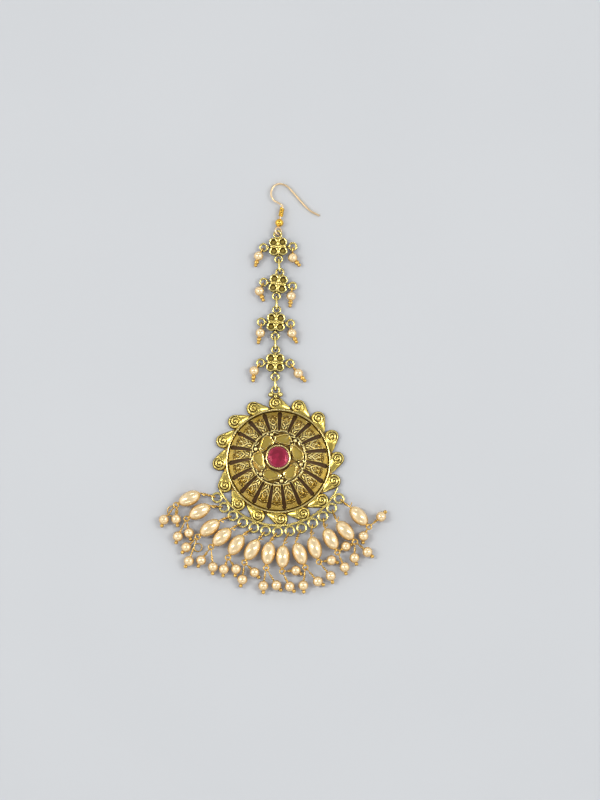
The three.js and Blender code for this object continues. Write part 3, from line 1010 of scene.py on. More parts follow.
    def build_drop(
        self, bench: Bench, number: int, side: str, reach: float, angle: float, tail: float
    ) -> None:
        """Builds one side drop: its wire with the gold beads, and its pearl.

        Args:
            bench: where it goes.
            number: the flower it hangs on.
            side: left or right.
            reach: how far its pearl lies from its ring.
            angle: the bearing from its ring to its pearl.
            tail: the bearing in which its beads point.
        """
        hole = self.ring_centre(self.places[number - 1], side)
        pearl = hole + bearing(reach, angle)
        pearl.z = self.pearl + LYING_GAP
        near, far = (hole + bearing(self.ring + offset, angle) for offset in (-self.eye, self.eye))
        node = f"side_drop_{number}_{side}"
        forge = Forge()
        forge.standing_loop(near, far, self.eye, wire=0.27)
        forge.coil(far, far.lerp(pearl, 0.35), radius=0.34, wire=0.2, turns=2.5)
        forge.wire([far, pearl], radius=0.25)
        bead, tip = (pearl + bearing(place[0], tail) for place in (self.bead, self.tip))
        bead.z, tip.z = self.bead[1], self.tip[1]
        forge.ball(bead, self.bead[2], Vector((1.0, 1.0, 0.95)))
        forge.ball(tip, self.tip[2])
        cap = pearl + (bead - pearl).normalized() * 1.55
        facing = upright(cap, bead).to_3x3().to_4x4() @ Matrix.Rotation(math.pi / 2, 4, "Y")
        forge.ring(cap, radius=0.5, wire=0.22, tilt=facing)
        forge.deliver(bench, f"drop_wire_{number}_{side}", Finish.WIRE, node)
        forge = Forge()
        forge.ball(pearl, self.pearl, columns=32, rows=20)
        forge.deliver(bench, f"drop_pearl_{number}_{side}", Finish.PEARL, node)

    def build(self, bench: Bench) -> None:
        """Builds the whole chain.

        Args:
            bench: where it goes.
        """
        for number, place in enumerate(self.places, 1):
            self.build_flower(bench, number, place)
            if number < len(self.places):
                end = self.ring_centre(self.places[number], "top")
            else:
                end = Vector((*self.top_ring, CHAIN_Z))
            self.build_link(bench, number, self.ring_centre(place, "bottom"), end)
        for number, side, reach, angle, tail in self.drops:
            self.build_drop(bench, number, side, reach, angle, tail)


# ---------------------------------------------------------------- medallion


@dataclass(frozen=True)
class Comma:
    """The outline of a paisley: a round head whose tail tapers away clockwise and inwards.

    Attributes:
        head: the head's radius.
        tail: where the tail's tip is, from the head's middle.
        tip: the radius of the tail's tip.
        swell: how full the tail stays along its length, below 1 for fuller.
    """

    head: float = 2.58
    tail: tuple[float, float] = (4.5, -2.1)
    tip: float = 0.55
    swell: float = 0.75

    def discs(self) -> list[tuple[Vector, float]]:
        """The discs that make up the outline: middle and radius, from the head to the tip."""
        made = []
        for share in (i / 16 for i in range(17)):
            middle = Vector((self.tail[0] * share, self.tail[1] * share**0.75))
            made.append((middle, self.head + (self.tip - self.head) * share ** (1 / self.swell)))
        return made

    def reach(self, angle: float) -> float:
        """How far the outline lies from the head's middle.

        Args:
            angle: the bearing, in radians.

        Returns:
            The distance, in millimetres.
        """
        ray = Vector((math.cos(angle), math.sin(angle)))
        far = self.head
        for middle, radius in self.discs():
            along = middle.dot(ray)
            inside = along * along - middle.length_squared + radius * radius
            if inside > 0:
                far = max(far, along + math.sqrt(inside))
        return far

    def swelling(self, point: Vector) -> float:
        """How far a full boss of this outline would stand up at a point.

        Args:
            point: the point, from the head's middle.

        Returns:
            The height of the tallest ball over it, in millimetres.
        """
        room = max(radius * radius - (point - middle).length_squared for middle, radius in self.discs())
        return math.sqrt(max(room, 0.0))


@dataclass(frozen=True)
class Motif:
    """One raised leaf or dot of the chased panels; it is mirrored about the panel's middle.

    Attributes:
        across: how far it lies from the panel's middle line.
        out: how far it lies from the axis.
        length: half its length.
        width: half its width.
        lean: how far its length leans away from the middle line, in degrees.
    """

    across: float
    out: float
    length: float
    width: float
    lean: float

    def rise(self, across: float, out: float) -> float:
        """How raised it is at a point, 0 to 1."""
        turn = math.radians(self.lean)
        x, y = abs(across) - self.across, out - self.out
        along = (x * math.sin(turn) + y * math.cos(turn)) / self.length
        aside = (x * math.cos(turn) - y * math.sin(turn)) / self.width
        return max(0.0, min(1.0, (1.15 - math.hypot(along, aside)) / 0.35))


MOTIFS = (
    Motif(across=0.50, out=11.25, length=0.80, width=0.30, lean=22),
    Motif(across=0.00, out=11.95, length=0.62, width=0.20, lean=0),
    Motif(across=0.62, out=12.75, length=0.78, width=0.30, lean=42),
    Motif(across=0.00, out=13.15, length=0.34, width=0.26, lean=0),
    Motif(across=1.15, out=12.05, length=0.20, width=0.20, lean=0),
    Motif(across=0.00, out=14.75, length=0.62, width=0.34, lean=0),
    Motif(across=1.32, out=15.00, length=0.34, width=0.20, lean=-30),
    Motif(across=0.62, out=15.15, length=0.22, width=0.16, lean=20),
)


@dataclass
class Medallion:
    """The slotted dome with its paisley border, its rosette and the crescent that carries the fringe.

    Attributes:
        slots: how many slots the dome has.
        first_slot: the bearing of the first slot.
        slot_ends: how far the slots' inner and outer ends lie from the axis.
        slot_width: half the slots' width at their inner and outer ends.
        dome: radius and height of the dome's outside.
        panel_from: where the chased panels start.
        panel_to: where they end.
        panel_depth: how thick they are.
        panel_crown: how far a panel swells between its slots.
        chasing: how high the chased pattern stands, and how far its ground lies below the plain dome.
        scallop: how far from the axis the chasing's scalloped end lies at its sides.
        curl: across, out, radius and pitch of the spiral that is chased on each half of a panel.
        paisleys: how many paisleys the border has.
        first_paisley: the bearing of the first paisley.
        paisley_orbit: how far the paisleys' heads lie from the axis.
        paisley_wall: how high the paisleys' walls are.
        spiral: the pitch and the radius of the spiral on a paisley's head.
        plaques: the bearings of the rosette's plaques.
        plaque_orbit: how far the plaques lie from the axis.
        plaque_rim: share of the outline's reach, and height, of each point of a plaque's raised rim.
        rosette_balls: the bearings of the rosette's balls.
        bezel: radius and height of the outline of the collar round the stone.
        stone: radius and height of the stone's outline.
        crescent: the radius of the crescent wire.
        crescent_ends: the bearings at which it starts and ends.
        fringe_ring: the radius of a fringe ring and of its wire.
        top_ring: x and y of the top ring.
        round_steps: how many sides the dome and its rim have.
    """

    slots: int = 19
    first_slot: float = 88
    slot_ends: tuple[float, float] = (10.3, 17.7)
    slot_width: tuple[float, float] = (0.46, 0.74)
    dome: Profile = ((18.8, 1.2), (18.2, 1.7), (16.6, 3.2), (14.4, 5.5), (12.0, 7.4), (9.5, 8.6), (0, 9.2))
    panel_from: float = 9.75
    panel_to: float = 18.2
    panel_depth: float = 0.8
    panel_crown: float = 0.62
    chasing: tuple[float, float] = (0.46, 0.34)
    scallop: float = 15.55
    curl: tuple[float, float, float, float] = (0.78, 13.95, 0.85, 0.62)
    paisleys: int = 16
    first_paisley: float = 92.4
    paisley_orbit: float = 21.1
    paisley_wall: float = 1.0
    spiral: tuple[float, float] = (1.02, 2.15)
    plaques: tuple[float, ...] = (130, 76, 15, -48, -112, -173)
    plaque_orbit: float = 6.95
    plaque_rim: Profile = ((1.0, 1.35), (0.985, 1.48), (0.95, 1.54), (0.9, 1.52), (0.87, 1.38), (0.86, 1.0))
    rosette_balls: tuple[float, ...] = (106, 45, -17, -82, -136, 159)
    bezel: Profile = (
        (3.7, 8.7), (4.5, 8.7), (4.48, 9.6), (4.46, 10.25), (4.4, 10.42), (4.3, 10.5),
        (4.05, 10.55), (3.93, 10.5), (3.87, 10.35), (3.7, 10.2), (3.7, 8.7),
    )  # fmt: skip
    stone: Profile = (
        (0, 9.4), (3.0, 9.4), (3.84, 10.25), (3.84, 10.4), (3.35, 10.85), (2.45, 11.12), (0, 11.2),
    )  # fmt: skip
    crescent: float = 23.4
    crescent_ends: tuple[float, float] = (-153.4, -24.5)
    fringe_ring: tuple[float, float] = (1.6, 0.43)
    top_ring: tuple[float, float] = (-1.0, 25.7)
    round_steps: int = 152

    def height(self, radius: float) -> float:
        """The dome's height at a radius.

        Args:
            radius: the distance from the axis.

        Returns:
            The height of its outside.
        """
        points = sorted(self.dome)
        for (r0, z0), (r1, z1) in zip(points, points[1:]):
            if radius <= r1:
                share = (radius - r0) / (r1 - r0)
                return z0 + (z1 - z0) * share
        return points[-1][1]

    def half_panel(self, radius: float) -> float:
        """Half the width of a panel at a radius, in millimetres.

        Args:
            radius: the distance from the axis.

        Returns:
            Half the room between two slots there.
        """
        inner, outer = self.slot_ends
        narrow, wide = self.slot_width
        share = (radius - inner) / (outer - inner)
        close = min(1.0, max(0.0, (outer - radius) / 0.25), max(0.0, (radius - inner) / 0.2 + 0.4))
        opening = (narrow + (wide - narrow) * share) * close if share > 0 else 0.3
        return math.pi * radius / self.slots - max(opening, 0.03)

    def relief(self, share: float, radius: float) -> tuple[float, float]:
        """The chased pattern at a point of a panel.

        Args:
            share: -1 at the panel's left edge, 1 at its right edge.
            radius: the distance from the axis.

        Returns:
            How far it stands above the dome's plain outside, and how much dark tone it keeps.
        """
        side = abs(share)
        across = side * self.half_panel(radius)
        edge = 0.3 * ramp(side, start=0.93, width=0.07)
        end = self.scallop + 0.5 * (1 - side) + 0.22 * abs(math.sin(2.5 * math.pi * side))
        if radius > end:
            step = ramp(radius, start=end, width=0.28)
            dots = math.cos(2 * math.pi * radius / 0.52) * math.cos(2 * math.pi * across / 0.56)
            # A groove at the step beyond the scalloped end; its dark tone is a painted shadow along the step.
            line = math.sin(math.pi * step) if step < 1 else 0.0
            rise = 0.1 * (1 - step) - 0.3 * step + 0.12 * dots - 0.15 * line
            return rise - edge, 0.46 - 0.28 * dots + 0.6 * line
        room = end - radius
        crown = self.panel_crown * (1 - share * share) * ramp(room, start=0.0, width=0.7) ** 0.5
        border = ramp(side, start=0.76, width=0.06) + 1 - ramp(radius, start=10.05, width=0.35)
        border += 1 - ramp(room, start=0.12, width=0.12)
        curl_across, curl_out, curl_radius, pitch = self.curl
        away, out = across - curl_across, radius - curl_out
        curl = math.hypot(away, out)
        whorl = 0.5 + 0.5 * math.cos(2 * math.pi * (curl / pitch - math.atan2(out, away) / (2 * math.pi)))
        raised = max(border, whorl * ramp(curl_radius - curl, start=0.0, width=0.1))
        raised = min(1.0, max(raised, *(motif.rise(across, radius) for motif in MOTIFS)))
        height, ground = self.chasing
        return crown + height * raised - ground - edge, 0.68 * (1 - raised) ** 2

    def build_panels(self, forge: Forge) -> None:
        """Adds the chased panels between the slots.

        Args:
            forge: the piece they are part of.
        """
        mesh = forge.mesh
        bmesh.ops.create_grid(mesh, x_segments=29, y_segments=62, size=1)
        lifted = bmesh.ops.extrude_face_region(mesh, geom=list(mesh.faces))["geom"]
        tops = {g for g in lifted if isinstance(g, bmesh.types.BMVert)}
        for vert in mesh.verts:
            share, along = vert.co.x, (vert.co.y + 1) / 2
            radius = self.panel_from + (self.panel_to - self.panel_from) * along
            # The panels' undersides take full dark tone, so the slot walls darken downwards: painted shade in
            # the slots.
            rise, dark = self.relief(share, radius) if vert in tops else (-self.panel_depth, 1.0)
            angle = math.degrees(share * self.half_panel(radius) / radius)
            vert.co = bearing(radius, angle, self.height(radius) + rise)
            vert[forge.patina_and_shade] = dark
        bmesh.ops.recalc_face_normals(mesh, faces=mesh.faces)
        bmesh.ops.transform(mesh, matrix=turned(self.first_slot + 180 / self.slots), verts=mesh.verts)
        bmesh.ops.spin(
            mesh,
            geom=[*mesh.verts, *mesh.edges, *mesh.faces],
            cent=(0, 0, 0),
            axis=(0, 0, 1),
            dvec=(0, 0, 0),
            angle=2 * math.pi * (self.slots - 1) / self.slots,
            steps=self.slots - 1,
            use_merge=False,
            use_duplicate=True,
        )

    def build_dome(self, bench: Bench) -> None:
        """Builds the dome: its chased panels, and the shell under them with its rim wire.

        Args:
            bench: where it goes.
        """
        forge = Forge()
        self.build_panels(forge)
        forge.deliver(bench, "dome_panels", Finish.ANTIQUE, "medallion", crease=60)
        forge = Forge()
        under = 0.75
        stations = (10.0, 11.0, 12.0, 13.2, 14.4, 15.5, 16.6, 17.4, 17.9)
        outside = [(radius, self.height(radius) - under) for radius in stations]
        crown = [(0, 8.85), (9.1, 8.45), (9.55, 8.2), (9.8, 7.7)]
        foot = [(18.2, 1.25), (18.75, 1.15), (18.8, 1.0), (18.8, 0), (17.3, 0)]
        inside = [(15.7, 2.3), (13.6, 4.5), (11.4, 6.4), (9.2, 7.5), (0, 8.1)]
        shell = forge.turned_shape([*crown, *outside, *foot, *inside], self.round_steps)
        # The shell under the panels takes full dark tone: painted shade of the hollow seen through the slots.
        forge.darken(shell, 1.0)
        # The ground round the rosette is darkened: a painted shadow ring.
        forge.darken((v for v in shell if v.co.xy.length < 9.7 and v.co.z > 8), 0.66)
        forge.darken((v for v in shell if v.co.xy.length > 18), 0.2)
        ledge = ((18.6, 0.3), (19.7, 0.3), (19.7, 0.95), (18.6, 1.3), (18.6, 0.3))
        forge.darken(forge.turned_shape(ledge, self.round_steps), 0.62)
        rim = [bearing(18.5, 360 * i / self.round_steps, 1.75) for i in range(self.round_steps)]
        forge.wire(rim, 0.36, sides=12, closed=True)
        forge.deliver(bench, "dome_shell_and_rim", Finish.ANTIQUE, "medallion")

    def add_comma(
        self,
        forge: Forge,
        comma: Comma,
        profile: Profile,
        frame: Matrix,
        surface: Callable[[Vector], tuple[float, float]],
    ) -> None:
        """Adds a comma-shaped boss.

        Args:
            forge: the piece it is part of.
            comma: its outline.
            profile: the share of the outline's reach, and the height, of each point of its side view.
            frame: where it stands.
            surface: how far its top stands above the last point of its wall, and its dark tone.
        """
        made = forge.turned_shape(profile, 88)
        wall = max(z for _, z in profile)
        for vert in made:
            flat = vert.co.xy * comma.reach(math.atan2(vert.co.y, vert.co.x))
            # The walls take a light dark tone: painted shade on the paisleys' sides.
            rise, dark = surface(flat) if vert.co.z > wall - 1e-3 else (0.0, 0.3)
            vert.co = Vector((flat.x, flat.y, vert.co.z + rise))
            vert[forge.patina_and_shade] = dark
        bmesh.ops.transform(forge.mesh, matrix=frame, verts=made)

    def build_paisleys(self, bench: Bench) -> None:
        """Builds the border of paisleys, each with a spiral cut into its head.

        Args:
            bench: where they go.
        """
        comma = Comma()
        wall, rings = self.paisley_wall, 17
        pitch, spiral = self.spiral
        profile = [(0, 0.2), (0.94, 0.2), (1.0, 0.5), (1.0, wall)]
        profile += [(math.cos(math.pi / 2 * i / rings), wall) for i in range(1, rings)]
        profile += [(0, wall)]

        def surface(point: Vector) -> tuple[float, float]:
            """The domed top with its spiral and its tail's border line."""
            full = comma.swelling(point)
            distance = point.length
            turn = math.atan2(point.y, point.x) / (2 * math.pi)
            phase = distance / pitch + turn
            groove = (0.5 + 0.5 * math.cos(2 * math.pi * phase)) ** 2.4
            groove *= ramp(spiral - distance, start=0.0, width=0.25) * ramp(distance, start=0.0, width=0.28)
            along = point.x * 0.92 - point.y * 0.39
            border = math.exp(-(((full - 0.78) / 0.13) ** 2)) if distance > 2.1 and along > 0.6 else 0.0
            border *= ramp(4.2 - along, start=0.0, width=0.6)
            return 0.55 * full - 0.4 * groove - 0.2 * border, min(1.0, groove + 0.75 * border)

        forge = Forge()
        for i in range(self.paisleys):
            turn = turned(self.first_paisley + 360 * i / self.paisleys - 90)
            frame = turn @ Matrix.Translation((0, self.paisley_orbit, 0))
            self.add_comma(forge, comma, profile, frame, surface)
        forge.deliver(bench, "paisley_border", Finish.SIDE_SHADED, "medallion", crease=60)

    def build_rosette(self, bench: Bench) -> None:
        """Builds the rosette: its plaques, its balls and curls, and the collar round the stone.

        Args:
            bench: where it goes.
        """
        comma = Comma(head=1.86, tail=(3.0, -0.75), tip=0.9, swell=1.0)
        skirt = ((1.1, -0.5), (1.2, 0.45), (1.16, 0.68), (1.06, 0.72), (1.0, 0.85))
        profile = (*skirt, *self.plaque_rim, (0.8, 0.98), (0.4, 0.98), (0, 0.98))
        lean = Matrix.Rotation(math.radians(-4), 4, "X")
        mirror = Matrix.Diagonal((-1, 1, 1, 1))
        forge = Forge()
        for angle in self.plaques:
            made = forge.turned_shape(profile, 72)
            for vert in made:
                share, high = vert.co.xy.length, vert.co.z
                flat = vert.co.xy * comma.reach(math.atan2(vert.co.y, vert.co.x))
                vert.co = Vector((flat.x, flat.y, high))
                # Painted shade in the groove inside each plaque's rim and round its foot; a light dark tone
                # on its top.
                plaque_shade = 0.85 * (0.81 < share < 0.865) + 0.16 * (share < 0.81)
                plaque_shade += 0.8 * (0.99 < share < 1.03) * (high < 0.9)
                vert[forge.patina_and_shade] = 0.9 if high < 0.3 else plaque_shade
            frame = turned(angle - 90) @ Matrix.Translation((0.95, self.plaque_orbit, 8.3))
            bmesh.ops.transform(forge.mesh, matrix=frame @ lean @ mirror, verts=made)
        for angle in self.rosette_balls:
            forge.ball(bearing(8.55, angle, 9.15), 0.74)
            for side in (-1, 1):
                forge.ball(bearing(9.25, angle + side * 7.5, 8.9), 0.42)
                forge.ball(bearing(7.5, angle + side * 5.0, 9.3), 0.34)
                bends = ((9.3 - 0.5 * math.sin(k * 0.6), 9 + k * 2.2) for k in range(5))
                curl = [bearing(radius, angle + side * turn, 8.75) for radius, turn in bends]
                forge.wire(flowing(curl, 3), lambda share: 0.26 * (1 - 0.6 * share))
        wave = [bearing(9.62 + 0.12 * math.cos(math.radians(9 * i)), i * 3, 8.45) for i in range(120)]
        forge.wire(wave, 0.2, sides=8, closed=True)
        forge.turned_shape(self.bezel, 72)
        forge.deliver(bench, "rosette", Finish.ANTIQUE, "medallion", crease=50)

    def build_crescent(self, bench: Bench, ring_centres: Iterable[Vector]) -> None:
        """Builds the crescent wire with its fringe rings, and the top ring.

        Args:
            bench: where it goes.
            ring_centres: the centres of the fringe rings.
        """
        forge = Forge()
        start, end = self.crescent_ends
        arc = [bearing(self.crescent, start + (end - start) * i / 90, FRINGE_Z) for i in range(91)]
        forge.wire(arc, lambda share: 0.45 - 0.15 * abs(2 * share - 1) ** 12, sides=RING_SIDES)
        for centre in ring_centres:
            forge.ring(centre, *self.fringe_ring)
        top = Vector((*self.top_ring, CHAIN_Z))
        forge.ring(top, 1.35, 0.42)
        for x, y in ((-1.75, -1.6), (1.75, -1.5)):
            forge.ball(top + Vector((x, y, 0)), 0.92)
        forge.ball(Vector((-1.0, 23.5, CHAIN_Z)), 0.8)
        forge.deliver(bench, "crescent_and_rings", Finish.SIDE_SHADED, "medallion")

    def build_stone(self, bench: Bench) -> None:
        """Builds the round stone with its table and its ring of facets.

        Args:
            bench: where it goes.
        """
        forge = Forge()
        forge.turned_shape(self.stone, 16, turned(11))
        forge.deliver(bench, "red_centre_stone", Finish.RUBY, "centre_stone", crease=3)

    def build(self, bench: Bench, ring_centres: Iterable[Vector]) -> None:
        """Builds the whole medallion.

        Args:
            bench: where it goes.
            ring_centres: the centres of the fringe rings.
        """
        self.build_dome(bench)
        self.build_paisleys(bench)
        self.build_rosette(bench)
        self.build_crescent(bench, ring_centres)
        self.build_stone(bench)


# ---------------------------------------------------------------- fringe


@dataclass(frozen=True)
class Drop:
    """Where one small drop lies.

    Attributes:
        reach: how far its pearl lies from its strand's lower loop.
        angle: the bearing from that loop to its pearl.
        tip: the bearing in which its end ball points.
    """

    reach: float
    angle: float
    tip: float


@dataclass(frozen=True)
class Strand:
    """Where one strand lies.

    Attributes:
        reach: how far its long pearl's middle lies from its fringe ring.
        angle: the bearing from the ring to the pearl.
        lean: the bearing of the pearl's lower end.
        near: its nearer small drop.
        far: its farther small drop.
    """

    reach: float
    angle: float
    lean: float
    near: Drop
    far: Drop


@dataclass
class Fringe:
    """The thirteen strands of the fringe.

    Attributes:
        strands: where each strand lies, from left to right.
        orbit: how far the fringe rings lie from the axis.
        first: the bearing of the first ring.
        last: the bearing of the last ring.
        ring: the radius of a fringe ring.
        half_length: half the length of a long pearl.
        width: the radius of a long pearl.
        round_pearl: the radius of a small pearl.
        wire: the radius of the wire.
        thin_wire: the radius of a small drop's wire.
        eye: the radius of a small drop's eye.
        loop: the radius of the loop under a long pearl.
        end_ball: how far a small drop's end ball lies from its pearl's middle, and its radius.
        spare_rings: the middle and radius of the odd jump rings left on a strand, by its number.
    """

    strands: tuple[Strand, ...] = (
        Strand(9.8, 183, 206, Drop(6.8, 230, 252), Drop(5.0, 270, 284)),
        Strand(8.9, 191, 209, Drop(7.0, 244, 254), Drop(5.1, 280, 285)),
        Strand(9.4, 209, 217, Drop(5.5, 222, 232), Drop(9.2, 250, 238)),
        Strand(9.2, 216, 223, Drop(5.8, 233, 244), Drop(7.1, 276, 267)),
        Strand(9.0, 226, 237, Drop(4.4, 250, 262), Drop(5.0, 305, 262)),
        Strand(8.5, 236, 239, Drop(6.1, 263, 255), Drop(5.0, 316, 312)),
        Strand(8.6, 247, 262, Drop(6.4, 261, 270), Drop(7.1, 301, 313)),
        Strand(9.8, 255, 268, Drop(5.9, 297, 313), Drop(4.9, 5, 330)),
        Strand(9.5, 266, 292, Drop(6.4, 263, 275), Drop(6.6, 312, 330)),
        Strand(9.1, 274, 287, Drop(6.5, 310, 287), Drop(4.5, 9, 340)),
        Strand(8.8, 288, 297, Drop(5.9, 296, 282), Drop(3.8, 36, 20)),
        Strand(9.6, 300, 311, Drop(5.7, 268, 288), Drop(5.7, 321, 318)),
        Strand(9.6, 317, 313, Drop(3.8, 239, 266), Drop(5.8, 41, 49)),
    )
    orbit: float = 25.65
    first: float = -148.8
    last: float = -32
    ring: float = 1.6
    half_length: float = 4.25
    width: float = 2.6
    round_pearl: float = 1.85
    wire: float = 0.25
    thin_wire: float = 0.2
    eye: float = 0.55
    loop: float = 0.9
    end_ball: tuple[float, float] = (2.25, 0.7)
    spare_rings: dict[int, tuple] = field(
        default_factory=lambda: {1: ((-37.8, -18.1, 0.9), 1.85), 3: ((-28.7, -31.2, 0.8), 1.45)}
    )

    def ring_centres(self) -> list[Vector]:
        """The centres of the fringe rings, from left to right."""
        step = (self.last - self.first) / (len(self.strands) - 1)
        return [bearing(self.orbit, self.first + step * i, FRINGE_Z) for i in range(len(self.strands))]

    def add_drop(self, wires: Forge, pearls: Forge, loop: Vector, drop: Drop) -> None:
        """Adds one small drop.

        Args:
            wires: the strand's wire piece.
            pearls: the strand's small pearls.
            loop: the middle of the strand's lower loop.
            drop: where the drop lies.
        """
        pearl = loop + bearing(drop.reach, drop.angle)
        pearl.z = self.round_pearl + LYING_GAP
        pearls.ball(pearl, self.round_pearl, columns=28, rows=18)
        tip = pearl + bearing(self.end_ball[0], drop.tip)
        tip.z = pearl.z - 0.3
        wires.ball(tip, self.end_ball[1])
        away = (pearl - loop).normalized()
        crown = pearl - away * (self.round_pearl - 0.1)
        eye = loop + away * 1.05
        shank = eye + away * 0.45
        wires.ring(eye, self.eye, self.thin_wire, upright(eye, crown).to_3x3().to_4x4(), steps=18)
        wires.wire([shank, crown], self.thin_wire)
        wound = min(0.75, 2.6 / max((crown - shank).length, 0.1))
        wires.coil(crown.lerp(shank, wound), crown, radius=0.34, wire=0.17, turns=2 + 2 * wound)

    def build_strand(self, bench: Bench, number: int, strand: Strand, hole: Vector) -> None:
        """Builds one strand.

        Args:
            bench: where it goes.
            number: its place in the fringe, from the left.
            strand: where it lies.
            hole: the centre of its fringe ring.
        """
        middle = hole + bearing(strand.reach, strand.angle)
        middle.z = self.width + LYING_GAP
        lean = bearing(1, strand.lean)
        top = middle - lean * (self.half_length + 0.2)
        bottom = middle + lean * (self.half_length + 0.2)
        loop = middle + lean * (self.half_length + 1.1)
        node = f"strand_{number:02d}"

        wires, pearls = Forge(), Forge()
        outward = (Vector((top.x, top.y, hole.z)) - hole).normalized()
        near, far = hole + outward * (self.ring - 1.0), hole + outward * (self.ring + 1.0)
        wires.standing_loop(near, far, 1.0, self.wire)
        wires.coil(far, far.lerp(top, 0.6), radius=0.36, wire=0.2, turns=2.5)
        wires.wire([far, top, top + lean * 1.0], self.wire)
        tail = top - lean * 0.2
        sideways = Vector((-lean.y, lean.x, 0.4))
        bends = [tail, tail + sideways * 0.7 - lean * 0.1, tail + sideways * 1.5 - lean * 0.6]
        wires.wire(flowing(bends, 4), self.thin_wire)
        wires.coil(bottom - lean * 0.25, bottom + lean * 0.35, radius=0.42, wire=0.22, turns=2.2)
        wires.ring(loop, self.loop, self.wire)
        for drop in (strand.near, strand.far):
            self.add_drop(wires, pearls, loop, drop)
        if number in self.spare_rings:
            place, radius = self.spare_rings[number]
            wires.ring(Vector(place), radius, 0.21, Matrix.Rotation(math.radians(14), 4, "X"))
        wires.deliver(bench, f"strand_wire_{number:02d}", Finish.WIRE, node)
        pearls.deliver(bench, f"strand_pearls_{number:02d}", Finish.PEARL, node)

        oval = Forge()
        mouth, slices = 0.3 / self.width, 20
        profile = []
        for i in range(slices + 1):
            t = mouth + (math.pi - 2 * mouth) * i / slices
            profile.append((self.width * math.sin(t) ** 1.05, -self.half_length * math.cos(t)))
        frame = upright(middle, bottom) @ Matrix.Rotation(math.pi / 2, 4, "Y")
        profile = [(0, profile[0][1] + 0.3), *profile, (0, profile[-1][1] - 0.3)]
        made = oval.turned_shape(profile, 32, frame)
        for vert in made:
            wobble = noise.noise(vert.co * 0.35 + Vector((number * 3.1, 0, 0)))
            vert.co = middle + (vert.co - middle) * (1 + 0.018 * wobble)
        oval.deliver(bench, f"long_pearl_{number:02d}", Finish.PEARL, f"oval_pearl_{number:02d}")

    def build(self, bench: Bench) -> None:
        """Builds all the strands."""
        for number, (strand, hole) in enumerate(zip(self.strands, self.ring_centres()), 1):
            self.build_strand(bench, number, strand, hole)


# ---------------------------------------------------------------- studio


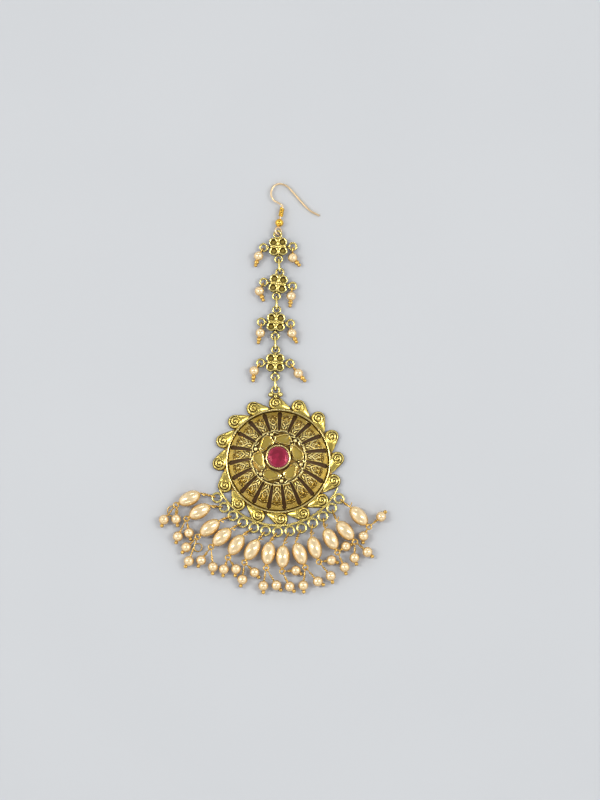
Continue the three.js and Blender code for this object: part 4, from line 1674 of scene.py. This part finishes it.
@dataclass
class Studio:
    """The pale floor, the soft lights and the camera.

    Attributes:
        target: what the camera looks at, from the middle of the footprint, in metres.
        elevation: the camera's angle above the floor, in degrees.
        distance: how far the camera stands off, in metres.
        view_height: how much of the floor the view takes in from top to bottom, in metres.
        sky: how bright the studio's ceiling is.
        walls: how bright its front and back walls are, and its side walls.
        air: the colour of the light from all round.
        lights: name, place, size, power in watts and tint of each soft light.
    """

    target: tuple[float, float, float] = (0.0097, -0.0046, 0.0)
    elevation: float = 80.0
    distance: float = 1.5
    view_height: float = 0.288
    sky: float = 0.36
    walls: tuple[float, float] = (0.45, 1.2)
    air: Colour = (0.97, 0.97, 0.99)
    lights: tuple[tuple, ...] = (
        ("left_softbox", (-0.62, 0.02, 0.86), (0.15, 0.5), 3.8, (1.0, 0.97, 0.93)),
        ("right_softbox", (0.62, 0.02, 0.86), (0.15, 0.5), 3.8, (1.0, 0.97, 0.93)),
        ("front_strip", (0, -0.85, 0.6), (0.5, 0.09), 0.9, (1.0, 0.98, 0.94)),
        ("back_strip", (0, 0.85, 0.6), (0.5, 0.09), 0.9, (1.0, 0.98, 0.94)),
    )

    def build_camera(self) -> None:
        """Puts up the camera."""
        data = bpy.data.cameras.new("camera")
        data.sensor_fit = "VERTICAL"
        data.sensor_height = 24.0
        data.lens = data.sensor_height * self.distance / self.view_height
        data.clip_start = 0.01
        camera = bpy.data.objects.new("camera", data)
        rise = math.radians(self.elevation)
        away = Vector((0, -math.cos(rise), math.sin(rise)))
        camera.location = Vector(self.target) + away * self.distance
        camera.rotation_euler = away.to_track_quat("Z", "Y").to_euler()
        bpy.context.scene.collection.objects.link(camera)
        bpy.context.scene.camera = camera

    def add_light(
        self, name: str, place: Vector, size: tuple[float, float], power: float, tint: Colour
    ) -> None:
        """Adds a soft light that faces the jewel.

        Args:
            name: its name.
            place: where it stands, in metres.
            size: its width and height, in metres.
            power: its power, in watts.
            tint: its colour.
        """
        data = bpy.data.lights.new(name, "AREA")
        data.shape = "RECTANGLE"
        data.size, data.size_y = size
        data.energy = power
        data.color = tint
        light = bpy.data.objects.new(name, data)
        light.location = place
        light.rotation_euler = place.to_track_quat("Z", "Y").to_euler()
        bpy.context.scene.collection.objects.link(light)

    def fade(
        self,
        tree: bpy.types.NodeTree,
        value: bpy.types.NodeSocket,
        reach: tuple[float, float],
        ends: tuple[float, float],
    ) -> bpy.types.NodeSocket:
        """Adds a smooth change of brightness to the studio's air.

        Args:
            tree: the air's node tree.
            value: the direction's share that the brightness follows.
            reach: the shares at which it starts and stops changing.
            ends: how bright it is before and after.

        Returns:
            The brightness.
        """
        made = tree.nodes.new("ShaderNodeMapRange")
        made.interpolation_type = "SMOOTHSTEP"
        tree.links.new(value, made.inputs["Value"])
        for name, number in zip(("From Min", "From Max", "To Min", "To Max"), (*reach, *ends)):
            made.inputs[name].default_value = number
        return made.outputs["Result"]

    def build(self) -> None:
        """Puts up the floor, the lights and the camera."""
        mesh = bmesh.new()
        bmesh.ops.create_grid(mesh, x_segments=4, y_segments=4, size=1.5)
        data = bpy.data.meshes.new("floor")
        mesh.to_mesh(data)
        mesh.free()
        floor = bpy.data.objects.new("floor", data)
        bpy.context.scene.collection.objects.link(floor)
        sheet = SheetFinish("studio_sheet", light=(0.56, 0.585, 0.612), dim=(0.552, 0.577, 0.604))
        data.materials.append(sheet.material())

        for name, place, size, power, tint in self.lights:
            self.add_light(name, Vector(place), size, power, tint)
        world = bpy.data.worlds.new("studio_air")
        world.use_nodes = True
        tree = world.node_tree
        background = tree.nodes["Background"]
        background.inputs["Color"].default_value = (*self.air, 1.0)
        direction = tree.nodes.new("ShaderNodeTexCoord")
        split = tree.nodes.new("ShaderNodeSeparateXYZ")
        tree.links.new(direction.outputs["Generated"], split.inputs["Vector"])
        aside = tree.nodes.new("ShaderNodeMath")
        aside.operation = "ABSOLUTE"
        tree.links.new(split.outputs["X"], aside.inputs[0])
        wall = self.fade(tree, aside.outputs[0], (0.2, 0.85), self.walls)
        ceiling = self.fade(tree, split.outputs["Z"], (0.35, 0.97), (0.0, self.sky))
        tree.links.new(wall, ceiling.node.inputs["To Min"])
        tree.links.new(ceiling, background.inputs["Strength"])
        bpy.context.scene.world = world
        bpy.context.scene.view_settings.view_transform = "Standard"
        self.build_camera()


def main() -> None:
    """Builds the jewel and its studio, and notes how many faces each piece has."""
    logging.basicConfig(level=logging.INFO, format="%(message)s")
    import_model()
    bench = Bench()
    fringe = Fringe()
    Studio().build()
    HairHook().build(bench)
    FlowerChain().build(bench)
    Medallion().build(bench, fringe.ring_centres())
    fringe.build(bench)


if __name__ == "__main__":
    main()
